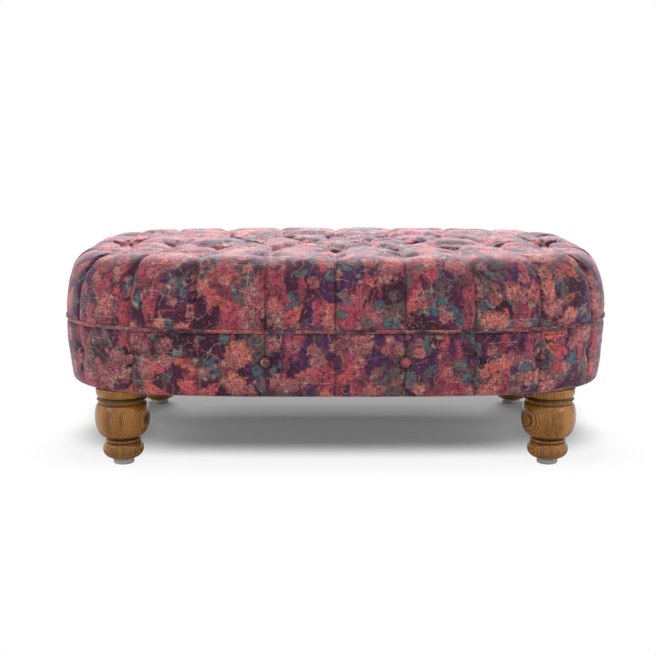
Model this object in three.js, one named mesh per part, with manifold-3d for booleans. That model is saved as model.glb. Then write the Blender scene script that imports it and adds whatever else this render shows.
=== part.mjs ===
// Oval tuffet: a deep-buttoned top over a pleated, buttoned border, on four turned bun feet.
// Millimetres, +Z up. The long axis lies along X, the front faces -Y and the floor is z = 0.
import * as THREE from "three";
import { mergeVertices } from "three/addons/utils/BufferGeometryUtils.js";
import Module from "manifold-3d";

const wasm = await Module();
wasm.setup();

// Fits
const fitGap = 0.3;
const cutOverrun = 5;
const weldDistance = 0.003;

// Upholstered body
const halfLength = 550;
const halfWidth = 352;
const planPowerShare = 3.6;
const borderHeight = 127;
const topRise = 131;
const crownRise = 4;
const shoulderInset = 70;
const pleatCount = 24;

// Deep buttoning of the top
const buttonDepth = 24;
const creaseDepth = 8;
const rimPleatDepth = 5;
const seamTuck = 6.5;
const seamRoll = 12;
const puffReach = 75;
const buttonRadius = 13;
const buttonRim = 2.5;
const buttonDome = 5;
const twineRadius = 1.5;
const knotRadius = 5;
const knotHeight = 4;

// Border below the seam
const borderTaper = 7;
const borderLeanInset = 1.5;
const borderCornerInset = 14;
const borderCornerHeight = 12;
const borderButtonShare = 0.535;
const borderFullShare = 0.88;
const borderPleatDepth = 5;
const turnUnderInset = 48;
const coverThickness = 2.7;
const borderButtonRadius = 10;
const borderButtonDome = 5;
const borderButtonSink = 1;
const pipingRadius = 3.6;
const pipingInset = 1.4;

// Seat foam under the tufted cover
const fillingUnderButtons = 8;
const foamShoulderDrop = 42;
const foamShoulderInset = 50;
const foamCrownRise = 3;

// Frame
const frameInset = 24;
const wrapThickness = 4;
const bottomBoardThickness = 18;
const deckThickness = 15;
const deckTopDrop = 8;
const studWidth = 45;
const studDepth = 22;
const studSetback = 3.5;
const railThickness = 34;
const railPlaceShare = 0.518;
const railSetback = 45;
const accessHoleRadius = 45;
const dustCoverThickness = 1;
const dustCoverInset = 32;

// Feet: turned bun legs with glides, hanger bolts and tee nuts
const legInset = 60;
const legTurnShare = 0.5;
const glideRadius = 20.5;
const glideHeight = 11.5;
const glideBevel = 2.5;
const glidePinRadius = 2.2;
const glidePinLength = 15;
const toeRadius = 19;
const ballRadius = 40;
const ballHeight = 33.5;
const ballNeckRadius = 31;
const lowerBeadRadius = 35;
const lowerBeadHeight = 7;
const lowerGrooveHeight = 4;
const bunFootRadius = 32.5;
const bunRadius = 54;
const bunHeight = 68;
const bunNeckRadius = 45;
const upperBeadRadius = 46.5;
const upperBeadHeight = 7;
const lipRadius = 49;
const lipHeight = 2;
const capGrooveRadius = 43.5;
const capGrooveHeight = 4.5;
const capRadius = 50.5;
const capOvoloHeight = 9;
const capHeight = 18.6;
const boltRadius = 4;
const boltEmbed = 37;
const boltStandout = 3;
const teeFlangeRadius = 11;
const teeFlangeThickness = 1.8;
const teeBarrelRadius = 5.6;
const teeBarrelLength = 12;

// Facets
const ringSegmentCount = 48;
const pipingSegmentCount = 72;
const pipingSideCount = 5;
const legSegmentCount = 18;
const ballStepCount = 3;
const bunStepCount = 4;
const smallSegmentCount = 10;
const buttonSegmentCount = 8;
const borderButtonSegmentCount = 6;
const drillSegmentCount = 6;
const tableStepCount = 1440;

// Heights of the turned leg, from the floor up
const legBottom = glideHeight + fitGap;
const ballTop = legBottom + ballHeight;
const lowerBeadTop = ballTop + lowerBeadHeight;
const bunBottom = lowerBeadTop + lowerGrooveHeight;
const bunTop = bunBottom + bunHeight;
const upperBeadTop = bunTop + upperBeadHeight;
const lipTop = upperBeadTop + lipHeight;
const capBottom = lipTop + capGrooveHeight;
const legTop = capBottom + capHeight;

// Heights of the body, stacked on the legs
const dustCoverBottom = legTop + fitGap;
const undersideHeight = dustCoverBottom + dustCoverThickness + fitGap;
const boardBottom = undersideHeight + coverThickness + fitGap;
const boardTop = boardBottom + bottomBoardThickness;
const seamHeight = undersideHeight + borderHeight;
const borderTop = seamHeight - fitGap / 2;
const coverBottom = seamHeight + fitGap / 2;
const deckTop = seamHeight - deckTopDrop;
const deckBottom = deckTop - deckThickness;
const rimHeight = seamHeight + topRise;
const foamBottom = deckTop + fitGap;
const foamRimHeight = rimHeight - buttonDepth - fillingUnderButtons;
const foamShoulderHeight = foamRimHeight - foamShoulderDrop;
const boltBottom = legTop - boltEmbed + fitGap;
const teeFlangeBottom = boardTop + fitGap;
const teeFlangeTop = teeFlangeBottom + teeFlangeThickness;

// Layers counted inwards from the outline
const foamInset = seamTuck + coverThickness + fitGap;
const boardInset = frameInset + wrapThickness + fitGap;

// Finishes
const fabric = new THREE.MeshStandardMaterial({ color: 0x8a4a5c, roughness: 0.9, metalness: 0 });
const oak = new THREE.MeshStandardMaterial({ color: 0xa9722f, roughness: 0.42, metalness: 0 });
const felt = new THREE.MeshStandardMaterial({ color: 0x8f8b86, roughness: 0.8, metalness: 0 });
const steel = new THREE.MeshStandardMaterial({ color: 0xa8abae, roughness: 0.35, metalness: 1 });
const foamed = new THREE.MeshStandardMaterial({ color: 0xe9dfb8, roughness: 0.95, metalness: 0 });
const plywood = new THREE.MeshStandardMaterial({ color: 0xcdaa7a, roughness: 0.75, metalness: 0 });
const hardboard = new THREE.MeshStandardMaterial({ color: 0x7a5636, roughness: 0.8, metalness: 0 });
const softwood = new THREE.MeshStandardMaterial({ color: 0xd9bd8b, roughness: 0.8, metalness: 0 });
const cambric = new THREE.MeshStandardMaterial({ color: 0x1c1b1d, roughness: 0.95, metalness: 0 });

const tuffet = new THREE.Group();

function addPart(name, geometry, material) {
  const mesh = new THREE.Mesh(geometry, material);
  mesh.name = name;
  tuffet.add(mesh);
  return mesh;
}

// The outline in plan is a superellipse. Its length is tabulated once, so that a share of the
// perimeter, counted from the front centre towards +X, gives a point with its outward normal.
function polarPoint(angle) {
  const across = Math.abs(Math.cos(angle) / halfLength) ** planPowerShare;
  const along = Math.abs(Math.sin(angle) / halfWidth) ** planPowerShare;
  const radius = (across + along) ** (-1 / planPowerShare);
  return new THREE.Vector2(radius * Math.cos(angle), radius * Math.sin(angle));
}

function tabulateOutline() {
  const lengths = [0];
  let last = polarPoint(-Math.PI / 2);
  for (let step = 1; step <= tableStepCount; step += 1) {
    const point = polarPoint(-Math.PI / 2 + (2 * Math.PI * step) / tableStepCount);
    lengths.push(lengths[step - 1] + point.distanceTo(last));
    last = point;
  }
  return lengths;
}

const outlineLengths = tabulateOutline();

function outlineAngle(share) {
  const target = (share - Math.floor(share)) * outlineLengths[tableStepCount];
  let low = 0;
  let high = tableStepCount;
  while (high - low > 1) {
    const middle = Math.floor((low + high) / 2);
    if (outlineLengths[middle] <= target) low = middle;
    else high = middle;
  }
  const part = (target - outlineLengths[low]) / (outlineLengths[high] - outlineLengths[low]);
  return -Math.PI / 2 + (2 * Math.PI * (low + part)) / tableStepCount;
}

function outlineNormal(point) {
  const slopeX = Math.sign(point.x) * Math.abs(point.x / halfLength) ** (planPowerShare - 1);
  const slopeY = Math.sign(point.y) * Math.abs(point.y / halfWidth) ** (planPowerShare - 1);
  return new THREE.Vector2(slopeX / halfLength, slopeY / halfWidth).normalize();
}

function outlineFrame(share) {
  const point = polarPoint(outlineAngle(share));
  return { point, normal: outlineNormal(point) };
}

function insetPoint(share, inset) {
  const { point, normal } = outlineFrame(share);
  return point.addScaledVector(normal, -inset);
}

// Corners are collected as loose triangles, then welded, and triangles without area dropped.
function addGrid(corners, rows, flipped) {
  for (let row = 0; row + 1 < rows.length; row += 1) {
    for (let column = 0; column + 1 < rows[row].length; column += 1) {
      const a = rows[row][column];
      const b = rows[row][column + 1];
      const c = rows[row + 1][column + 1];
      const d = rows[row + 1][column];
      if (flipped) corners.push(a, c, b, a, d, c);
      else corners.push(a, b, c, a, c, d);
    }
  }
}

function weld(corners) {
  const positions = corners.flatMap((corner) => [corner.x, corner.y, corner.z]);
  const loose = new THREE.BufferGeometry();
  loose.setAttribute("position", new THREE.Float32BufferAttribute(positions, 3));
  const welded = mergeVertices(loose, weldDistance);
  const kept = [];
  const index = welded.index.array;
  for (let at = 0; at < index.length; at += 3) {
    const [a, b, c] = [index[at], index[at + 1], index[at + 2]];
    if (a !== b && b !== c && c !== a) kept.push(a, b, c);
  }
  welded.setIndex(kept);
  return welded;
}

function toSolid(geometry) {
  const bare = new THREE.BufferGeometry();
  bare.setAttribute("position", geometry.getAttribute("position"));
  if (geometry.index) bare.setIndex(geometry.index);
  const merged = mergeVertices(bare, weldDistance);
  const vertProperties = new Float32Array(merged.getAttribute("position").array);
  const triVerts = new Uint32Array(merged.index.array);
  return new wasm.Manifold(new wasm.Mesh({ numProp: 3, vertProperties, triVerts }));
}

function toGeometry(solid) {
  const mesh = solid.getMesh();
  const geometry = new THREE.BufferGeometry();
  geometry.setAttribute("position", new THREE.Float32BufferAttribute(mesh.vertProperties, 3));
  geometry.setIndex(Array.from(mesh.triVerts));
  return geometry;
}

// Level rows that follow the outline. Each level is an inset and a height.
function outlineRow(level, segmentCount) {
  const row = [];
  for (let segment = 0; segment <= segmentCount; segment += 1) {
    const point = insetPoint(segment / segmentCount, level.inset);
    row.push(new THREE.Vector3(point.x, point.y, level.height));
  }
  return row;
}

function centreRow(row, height) {
  return row.map(() => new THREE.Vector3(0, 0, height));
}

// A closed loft from a flat bottom, through the levels, to a top that rises to its centre.
function ovalLoft(levels, segmentCount, topHeight) {
  const corners = [];
  const rows = levels.map((level) => outlineRow(level, segmentCount));
  const bottom = centreRow(rows[0], levels[0].height);
  const top = centreRow(rows[0], topHeight);
  addGrid(corners, [bottom, ...rows, top], false);
  return weld(corners);
}

// A ring round the outline: the levels go once round its section, up outside and down inside.
function ovalRing(levels, segmentCount) {
  const corners = [];
  const rows = [...levels, levels[0]].map((level) => outlineRow(level, segmentCount));
  addGrid(corners, rows, false);
  return weld(corners);
}

function ovalShape(inset) {
  const points = [];
  for (let segment = 0; segment < ringSegmentCount; segment += 1) {
    points.push(insetPoint(segment / ringSegmentCount, inset));
  }
  return new THREE.Shape(points);
}

function roundHole(centre, radius, segmentCount) {
  const points = [];
  for (let segment = 0; segment < segmentCount; segment += 1) {
    const angle = (2 * Math.PI * segment) / segmentCount;
    const x = centre.x + radius * Math.cos(angle);
    const y = centre.y + radius * Math.sin(angle);
    points.push(new THREE.Vector2(x, y));
  }
  return new THREE.Path(points);
}

function boardGeometry(shape, bottom, thickness) {
  const geometry = new THREE.ExtrudeGeometry(shape, { depth: thickness, bevelEnabled: false });
  return geometry.translate(0, 0, bottom);
}

function turned(profile, segmentCount) {
  const points = profile.map(([radius, height]) => new THREE.Vector2(radius, height));
  return new THREE.LatheGeometry(points, segmentCount).rotateX(Math.PI / 2);
}

function rod(centre, bottom, top, radius, segmentCount) {
  const geometry = new THREE.CylinderGeometry(radius, radius, top - bottom, segmentCount);
  geometry.rotateX(Math.PI / 2);
  return geometry.translate(centre.x, centre.y, (bottom + top) / 2);
}

// A many-sided cutter that clears a round piece all round.
function drillReach(radius) {
  return (radius + fitGap) / Math.cos(Math.PI / drillSegmentCount);
}

function drill(centre, bottom, top, radius) {
  return toSolid(rod(centre, bottom, top, drillReach(radius), drillSegmentCount));
}

const quarters = [
  { x: 1, y: -1 },
  { x: 1, y: 1 },
  { x: -1, y: 1 },
  { x: -1, y: -1 },
];
const [frontRight, rearRight, rearLeft, frontLeft] = quarters;

// Buttons of the top in the front right quarter, as shares of the half length and half width:
// a front row that follows the oval, a middle row between its buttons, and two at the end.
const buttonShares = {
  frontCentre: [0, -0.337],
  frontInner: [0.204, -0.314],
  frontOuter: [0.42, -0.243],
  middleInner: [0.102, 0],
  middleOuter: [0.311, 0],
  endInner: [0.622, 0],
  endOuter: [0.822, 0],
};

function buttonPoint(name, quarter) {
  const [shareX, shareY] = buttonShares[name];
  return new THREE.Vector2(quarter.x * shareX * halfLength, -quarter.y * shareY * halfWidth);
}

function listButtons() {
  const found = new Map();
  for (const name of Object.keys(buttonShares)) {
    for (const quarter of quarters) {
      const [shareX, shareY] = buttonShares[name];
      const key = [name, Math.sign(quarter.x * shareX), Math.sign(quarter.y * shareY)].join();
      if (!found.has(key)) found.set(key, buttonPoint(name, quarter));
    }
  }
  return [...found.values()];
}

const buttons = listButtons();

// Height of the crests over a point of the top, before a crease or a button pulls it down.
function crestHeight(point) {
  const across = Math.abs(point.x / (halfLength - shoulderInset)) ** planPowerShare;
  const along = Math.abs(point.y / (halfWidth - shoulderInset)) ** planPowerShare;
  const reach = Math.min(1, (across + along) ** (2 / planPowerShare));
  return rimHeight + crownRise * (1 - reach);
}

const puffPowerShare = 2.6;
const creasePowerShare = 1.6;
const pleatPowerShare = 2.2;
const pathBendShare = 0.4;
const shoulderPowerShare = 2.4;
const crownRampShare = 0.25;

// Fullness of a puff: 0 at a crease and 1 at the crest.
function fullness(across) {
  return Math.sqrt(Math.max(0, 1 - Math.abs(2 * across - 1) ** puffPowerShare));
}

function fullnessFrom(distance, reach) {
  const near = Math.min(1, Math.max(0, distance / reach));
  return Math.sqrt(1 - (1 - near) ** puffPowerShare);
}

// Depth along a crease between two buttons, deepest at the buttons.
function creaseProfile(along) {
  return creaseDepth + (buttonDepth - creaseDepth) * Math.abs(2 * along - 1) ** creasePowerShare;
}

// A depth inside a puff, from the depths of its creases and how far away each one is.
function blendEdges(edges) {
  let depthSum = 0;
  let weightSum = 0;
  for (const [distance, depth] of edges) {
    if (distance <= 0) return depth;
    depthSum += depth / distance;
    weightSum += 1 / distance;
  }
  return depthSum / weightSum;
}

// The inner edge of a rim panel runs through one, two or three buttons.
function innerEdge(corners, across) {
  if (corners.length === 1) return { point: corners[0], depth: buttonDepth };
  const spanCount = corners.length - 1;
  const span = Math.min(spanCount - 1, Math.floor(across * spanCount));
  const part = across * spanCount - span;
  return { point: corners[span].clone().lerp(corners[span + 1], part), depth: creaseProfile(part) };
}

// One point of a rim panel. The side goes from 0 at the seam to 1 at the rim, over a full round
// shoulder, and the top from 0 at the rim to 1 at the inner edge. Creases sink along the normal.
function rimPanelPoint(pleat, corners, across, side, top) {
  const { point, normal } = outlineFrame((pleat + across) / pleatCount);
  const turn = (side * Math.PI) / 2;
  const rise = (rimHeight - coverBottom) * Math.sin(turn) ** (2 / shoulderPowerShare);
  const inset = shoulderInset * (1 - Math.cos(turn) ** (2 / shoulderPowerShare));
  const shoulder = point.addScaledVector(normal, -inset);
  const inner = innerEdge(corners, across);
  const span = shoulder.distanceTo(inner.point);
  const bend = shoulder.clone().addScaledVector(normal, -span * pathBendShare);
  const place = new THREE.QuadraticBezierCurve(shoulder, bend, inner.point).getPoint(top);
  const crown = (crestHeight(place) - rimHeight) * Math.min(1, top / crownRampShare);
  const rimPull = seamTuck + (rimPleatDepth - seamTuck) * side;
  const pleatPull = rimPull + (buttonDepth - rimPleatDepth) * top ** pleatPowerShare;
  const depth = blendEdges([
    [across, pleatPull],
    [1 - across, pleatPull],
    [side + top, seamTuck],
    [2 - side - top, inner.depth],
  ]);
  const seamDistance = rise + top * span;
  const innerDistance = (1 - top) * span + (1 - side) * rimHeight;
  const swell = fullnessFrom(seamDistance, seamRoll) * fullnessFrom(innerDistance, puffReach);
  const sunk = depth * (1 - fullness(across) * swell);
  const outward = Math.cos(turn) * sunk;
  return new THREE.Vector3(
    place.x - normal.x * outward,
    place.y - normal.y * outward,
    coverBottom + rise + crown - Math.sin(turn) * sunk,
  );
}

// One point of a diamond between four buttons.
function diamondPoint([front, outer, rear, inner], across, along) {
  const near = front.clone().lerp(outer, across);
  const far = inner.clone().lerp(rear, across);
  const place = near.lerp(far, along);
  const depth = blendEdges([
    [across, creaseProfile(along)],
    [1 - across, creaseProfile(along)],
    [along, creaseProfile(across)],
    [1 - along, creaseProfile(across)],
  ]);
  const sunk = depth * (1 - fullness(across) * fullness(along));
  return new THREE.Vector3(place.x, place.y, crestHeight(place) - sunk);
}

// Where facets are laid across a puff, close to its creases and at its crest.
const acrossShares = [0, 0.14, 0.5, 0.86, 1];
const sideShares = [0, 0.06, 0.36, 0.66, 1];
const topShares = [0.55, 1];

function acrossSteps(spanCount) {
  const steps = [];
  for (let span = 0; span < spanCount; span += 1) {
    for (const share of acrossShares) {
      if (span === 0 || share > 0) steps.push((span + share) / spanCount);
    }
  }
  return steps;
}

// Rim panels of one quarter, by the buttons that their inner edges run through.
const rimPanels = [
  ["frontCentre", "middleInner", "frontInner"],
  ["frontInner", "middleOuter", "frontOuter"],
  ["frontOuter", "endInner"],
  ["endInner", "endOuter"],
  ["endOuter"],
  ["endOuter"],
];

function mirrorRows(rows, quarter) {
  const place = (point) => new THREE.Vector3(quarter.x * point.x, -quarter.y * point.y, point.z);
  return rows.map((row) => row.map(place));
}

function addRimPanel(corners, pleat, names, quarter) {
  const inner = names.map((name) => buttonPoint(name, frontRight));
  const columns = acrossSteps(Math.max(1, names.length - 1));
  const levels = [
    ...sideShares.map((side) => [side, 0]),
    ...topShares.map((top) => [1, top]),
  ];
  const rows = levels.map(([side, top]) =>
    columns.map((across) => rimPanelPoint(pleat, inner, across, side, top)));
  rows.unshift(centreRow(rows[0], coverBottom));
  addGrid(corners, mirrorRows(rows, quarter), quarter.x === quarter.y);
}

function addDiamond(corners, buttonsRound) {
  const rows = acrossShares.map((along) =>
    acrossShares.map((across) => diamondPoint(buttonsRound, across, along)));
  addGrid(corners, rows, false);
}

function tuftedBody() {
  const corners = [];
  for (const quarter of quarters) {
    rimPanels.forEach((names, pleat) => addRimPanel(corners, pleat, names, quarter));
  }
  addDiamond(corners, [
    buttonPoint("frontCentre", frontRight),
    buttonPoint("middleInner", frontRight),
    buttonPoint("frontCentre", rearRight),
    buttonPoint("middleInner", frontLeft),
  ]);
  const rows = [
    ["frontInner", "middleOuter", "middleInner"],
    ["frontOuter", "endInner", "middleOuter"],
  ];
  for (const [row, outer, inner] of rows) {
    addDiamond(corners, [
      buttonPoint(row, frontRight),
      buttonPoint(outer, frontRight),
      buttonPoint(row, rearRight),
      buttonPoint(inner, frontRight),
    ]);
    addDiamond(corners, [
      buttonPoint(row, frontLeft),
      buttonPoint(inner, frontLeft),
      buttonPoint(row, rearLeft),
      buttonPoint(outer, frontLeft),
    ]);
  }
  return toSolid(weld(corners));
}

// Foam block: straight sides, a rounded shoulder and a slight crown, grown by a clearance.
function foamBlock(clearance, bottom) {
  const inset = foamInset - clearance;
  const levels = [
    { inset, height: bottom },
    { inset, height: foamShoulderHeight + clearance },
  ];
  levels.push({ inset: inset + foamShoulderInset, height: foamRimHeight + clearance });
  const top = foamRimHeight + foamCrownRise + clearance;
  return toSolid(ovalLoft(levels, ringSegmentCount, top));
}

function drillTwines(solid, bottom, top) {
  let drilled = solid;
  for (const button of buttons) {
    drilled = drilled.subtract(drill(button, bottom, top, twineRadius));
  }
  return drilled;
}

function seatHeight(button) {
  return crestHeight(button) - buttonDepth;
}

function makeSeatCover() {
  let cover = tuftedBody();
  cover = cover.subtract(foamBlock(fitGap, deckTop - cutOverrun));
  for (const button of buttons) {
    cover = cover.subtract(drill(button, seatHeight(button), rimHeight, buttonRadius));
  }
  const top = rimHeight + crownRise;
  addPart("seat_cover", toGeometry(drillTwines(cover, deckTop, top)), fabric);
}

function makeSeatFoam() {
  const top = rimHeight + crownRise;
  addPart("seat_foam", toGeometry(drillTwines(foamBlock(0, foamBottom), deckBottom, top)), foamed);
}

// A covered button with its twine, which runs down to a knot under the deck.
function makeTopButtons() {
  buttons.forEach((button, index) => {
    const knotTop = deckBottom - fitGap;
    const seat = seatHeight(button) + fitGap;
    const crown = seat + buttonRim + buttonDome;
    const profile = [
      [0, knotTop - knotHeight],
      [knotRadius, knotTop - knotHeight],
      [knotRadius, knotTop],
      [twineRadius, knotTop],
      [twineRadius, seat],
      [buttonRadius, seat],
      [buttonRadius, seat + buttonRim],
      [buttonRadius * Math.cos(Math.PI / 4), crown - buttonDome * (1 - Math.sin(Math.PI / 4))],
      [0, crown],
    ];
    const name = `top_button_${String(index + 1).padStart(2, "0")}`;
    const mesh = addPart(name, turned(profile, buttonSegmentCount), fabric);
    mesh.position.set(button.x, button.y, 0);
  });
}

// Piping: a covered cord in the seam between the top and the border.
function makePiping() {
  const levels = [];
  for (let side = 0; side < pipingSideCount; side += 1) {
    const angle = (2 * Math.PI * side) / pipingSideCount;
    levels.push({
      inset: pipingInset - pipingRadius * Math.cos(angle),
      height: seamHeight + pipingRadius * Math.sin(angle),
    });
  }
  addPart("seam_piping", ovalRing(levels, pipingSegmentCount), fabric);
}

// Levels of the border from the underside up to the seam. The last number is how much of the
// full pleat depth the creases have there.
function borderLevels() {
  const cornerTop = undersideHeight + borderCornerHeight;
  const cornerRun = borderCornerInset - borderTaper;
  const half = Math.PI / 4;
  return [
    { inset: borderCornerInset, height: undersideHeight, pleatShare: 0.2 },
    {
      inset: borderTaper + cornerRun * (1 - Math.cos(half)),
      height: cornerTop - borderCornerHeight * Math.sin(half),
      pleatShare: 0.3,
    },
    { inset: borderTaper, height: cornerTop, pleatShare: 0.5 },
    {
      inset: borderLeanInset,
      height: undersideHeight + borderButtonShare * borderHeight,
      pleatShare: 1,
    },
    { inset: 0, height: undersideHeight + borderFullShare * borderHeight, pleatShare: 0.6 },
    { inset: seamTuck, height: borderTop, pleatShare: 0 },
  ];
}

function creaseInset(level) {
  return level.inset + level.pleatShare * borderPleatDepth;
}

function borderRow(level) {
  const row = [];
  for (let pleat = 0; pleat < pleatCount; pleat += 1) {
    for (const across of acrossShares.slice(0, -1)) {
      const crease = (creaseInset(level) - level.inset) * (1 - fullness(across));
      const point = insetPoint((pleat + across) / pleatCount, level.inset + crease);
      row.push(new THREE.Vector3(point.x, point.y, level.height));
    }
  }
  row.push(row[0]);
  return row;
}

function borderOuter() {
  const corners = [];
  const rows = borderLevels().map(borderRow);
  const bottom = centreRow(rows[0], undersideHeight);
  const top = centreRow(rows[0], borderTop);
  addGrid(corners, [bottom, ...rows, top], false);
  return toSolid(weld(corners));
}

function borderInner() {
  const [, , cornerTop, button, , seam] = borderLevels();
  const levels = [
    { inset: frameInset - fitGap, height: boardBottom - fitGap },
    { inset: creaseInset(cornerTop) + coverThickness, height: cornerTop.height },
    { inset: creaseInset(button) + coverThickness, height: button.height },
    { inset: creaseInset(seam) + coverThickness, height: deckTop },
    { inset: creaseInset(seam) + coverThickness, height: seam.height + cutOverrun },
  ];
  return toSolid(ovalLoft(levels, ringSegmentCount, seamHeight + cutOverrun));
}

function borderButton(pleat) {
  const level = borderLevels()[3];
  const { point, normal } = outlineFrame(pleat / pleatCount);
  const profile = [
    [0, -borderButtonSink],
    [borderButtonRadius, -borderButtonSink],
    [borderButtonRadius * Math.cos(Math.PI / 6), borderButtonDome / 2],
    [0, borderButtonDome],
  ];
  const dome = turned(profile, borderButtonSegmentCount);
  const facing = new THREE.Vector3(normal.x, normal.y, 0);
  const turn = new THREE.Quaternion().setFromUnitVectors(new THREE.Vector3(0, 0, 1), facing);
  dome.applyQuaternion(turn);
  point.addScaledVector(normal, -creaseInset(level));
  return toSolid(dome.translate(point.x, point.y, level.height));
}

function makeBorderCover() {
  let cover = borderOuter().subtract(borderInner());
  const openingLevels = [
    { inset: turnUnderInset, height: undersideHeight - cutOverrun },
    { inset: turnUnderInset, height: boardTop },
  ];
  cover = cover.subtract(toSolid(ovalLoft(openingLevels, ringSegmentCount, boardTop)));
  for (let pleat = 0; pleat < pleatCount; pleat += 1) {
    cover = cover.add(borderButton(pleat));
  }
  addPart("border_cover", toGeometry(cover), fabric);
}

function makeBorderPadding() {
  const [, , cornerTop, button, , seam] = borderLevels();
  const faceInset = (level) => creaseInset(level) + coverThickness + fitGap;
  const backInset = frameInset - fitGap;
  const levels = [
    { inset: faceInset(cornerTop), height: cornerTop.height },
    { inset: faceInset(button), height: button.height },
    { inset: faceInset(seam), height: deckTop },
    { inset: backInset, height: deckTop },
    { inset: backInset, height: cornerTop.height },
  ];
  addPart("border_padding", ovalRing(levels, ringSegmentCount), foamed);
}

function makeSideWrap() {
  const levels = [
    { inset: frameInset, height: boardBottom },
    { inset: frameInset, height: deckTop },
    { inset: frameInset + wrapThickness, height: deckTop },
    { inset: frameInset + wrapThickness, height: boardBottom },
  ];
  addPart("side_wrap", ovalRing(levels, ringSegmentCount), hardboard);
}

// Legs stand in from the corners of the oval. The turn share goes from 0 at the end of the
// oval to 1 at its side.
function legPoint() {
  const turn = (legTurnShare * Math.PI) / 2;
  const x = halfLength * Math.cos(turn) ** (2 / planPowerShare);
  const y = halfWidth * Math.sin(turn) ** (2 / planPowerShare);
  const corner = new THREE.Vector2(x, y);
  return corner.addScaledVector(outlineNormal(corner), -legInset);
}

const legAt = legPoint();

const legPlaces = [
  { name: "front_left", x: -legAt.x, y: -legAt.y },
  { name: "front_right", x: legAt.x, y: -legAt.y },
  { name: "rear_right", x: legAt.x, y: legAt.y },
  { name: "rear_left", x: -legAt.x, y: legAt.y },
];

// Access holes in the bottom board, through which the twines are tied, as shares of the half
// length and half width.
const accessHoleShares = [
  [0, -0.36],
  [0, 0.36],
  [0.3, -0.36],
  [0.3, 0.36],
  [-0.3, -0.36],
  [-0.3, 0.36],
  [0.66, 0],
  [-0.66, 0],
];

function makeBottomBoard() {
  const shape = ovalShape(boardInset);
  for (const place of legPlaces) {
    shape.holes.push(roundHole(place, teeBarrelRadius + fitGap, smallSegmentCount));
  }
  for (const [shareX, shareY] of accessHoleShares) {
    const centre = { x: shareX * halfLength, y: shareY * halfWidth };
    shape.holes.push(roundHole(centre, accessHoleRadius, smallSegmentCount));
  }
  addPart("bottom_board", boardGeometry(shape, boardBottom, bottomBoardThickness), plywood);
}

function makeDeckBoard() {
  const shape = ovalShape(boardInset);
  for (const button of buttons) {
    shape.holes.push(roundHole(button, drillReach(twineRadius), drillSegmentCount));
  }
  addPart("deck_board", boardGeometry(shape, deckBottom, deckThickness), plywood);
}

function makeDustCover() {
  const shape = ovalShape(dustCoverInset);
  for (const place of legPlaces) {
    shape.holes.push(roundHole(place, boltRadius + fitGap, smallSegmentCount));
  }
  addPart("dust_cover", boardGeometry(shape, dustCoverBottom, dustCoverThickness), cambric);
}

// Studs stand between the boards behind every other pleat.
function makeStuds() {
  const studCount = pleatCount / 2;
  const height = deckBottom - boardTop - 2 * fitGap;
  for (let stud = 0; stud < studCount; stud += 1) {
    const { point, normal } = outlineFrame((stud + 0.5) / studCount);
    point.addScaledVector(normal, -(boardInset + studSetback + studDepth / 2));
    const geometry = new THREE.BoxGeometry(studDepth, studWidth, height);
    const name = `frame_stud_${String(stud + 1).padStart(2, "0")}`;
    const mesh = addPart(name, geometry, softwood);
    mesh.rotation.z = Math.atan2(normal.y, normal.x);
    mesh.position.set(point.x, point.y, (deckBottom + boardTop) / 2);
  }
}

function makeCrossRails() {
  const length = 2 * (halfWidth - boardInset - railSetback);
  const height = deckBottom - boardTop - 2 * fitGap;
  for (const [name, side] of [["cross_rail_left", -1], ["cross_rail_right", 1]]) {
    const mesh = addPart(name, new THREE.BoxGeometry(railThickness, length, height), softwood);
    mesh.position.set(side * railPlaceShare * halfLength, 0, (deckBottom + boardTop) / 2);
  }
}

// A turned swelling: a quarter ellipse out to the widest place and another one back in.
function addSwelling(profile, start, widest, end, stepCount) {
  for (let step = 0; step <= stepCount; step += 1) {
    const turn = (step / stepCount) * (Math.PI / 2);
    profile.push([
      start.radius + (widest.radius - start.radius) * Math.sin(turn),
      widest.height - (widest.height - start.height) * Math.cos(turn),
    ]);
  }
  for (let step = 1; step <= stepCount; step += 1) {
    const turn = (step / stepCount) * (Math.PI / 2);
    profile.push([
      end.radius + (widest.radius - end.radius) * Math.cos(turn),
      widest.height + (end.height - widest.height) * Math.sin(turn),
    ]);
  }
}

const ballWidestShare = 0.52;
const bunWidestShare = 0.58;

function legProfile() {
  const pinTop = legBottom + glidePinLength;
  const pinHole = glidePinRadius + fitGap;
  const profile = [[0, pinTop], [pinHole, pinTop], [pinHole, legBottom]];
  addSwelling(
    profile,
    { radius: toeRadius, height: legBottom },
    { radius: ballRadius, height: legBottom + ballWidestShare * ballHeight },
    { radius: ballNeckRadius, height: ballTop },
    ballStepCount,
  );
  profile.push([lowerBeadRadius, ballTop + lowerBeadHeight / 4]);
  profile.push([lowerBeadRadius, lowerBeadTop - lowerBeadHeight / 4]);
  profile.push([ballNeckRadius, lowerBeadTop]);
  addSwelling(
    profile,
    { radius: bunFootRadius, height: bunBottom },
    { radius: bunRadius, height: bunBottom + bunWidestShare * bunHeight },
    { radius: bunNeckRadius, height: bunTop },
    bunStepCount,
  );
  profile.push([upperBeadRadius, bunTop + upperBeadHeight / 4]);
  profile.push([upperBeadRadius, upperBeadTop - upperBeadHeight / 4]);
  profile.push([lipRadius, upperBeadTop]);
  profile.push([lipRadius, lipTop]);
  profile.push([capGrooveRadius, lipTop]);
  profile.push([capGrooveRadius, capBottom]);
  profile.push([(capGrooveRadius + capRadius) / 2, capBottom + capOvoloHeight / 4]);
  profile.push([capRadius, capBottom + capOvoloHeight]);
  profile.push([capRadius, legTop]);
  profile.push([boltRadius + fitGap, legTop]);
  profile.push([boltRadius + fitGap, boltBottom - fitGap]);
  profile.push([0, boltBottom - fitGap]);
  return profile;
}

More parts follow.
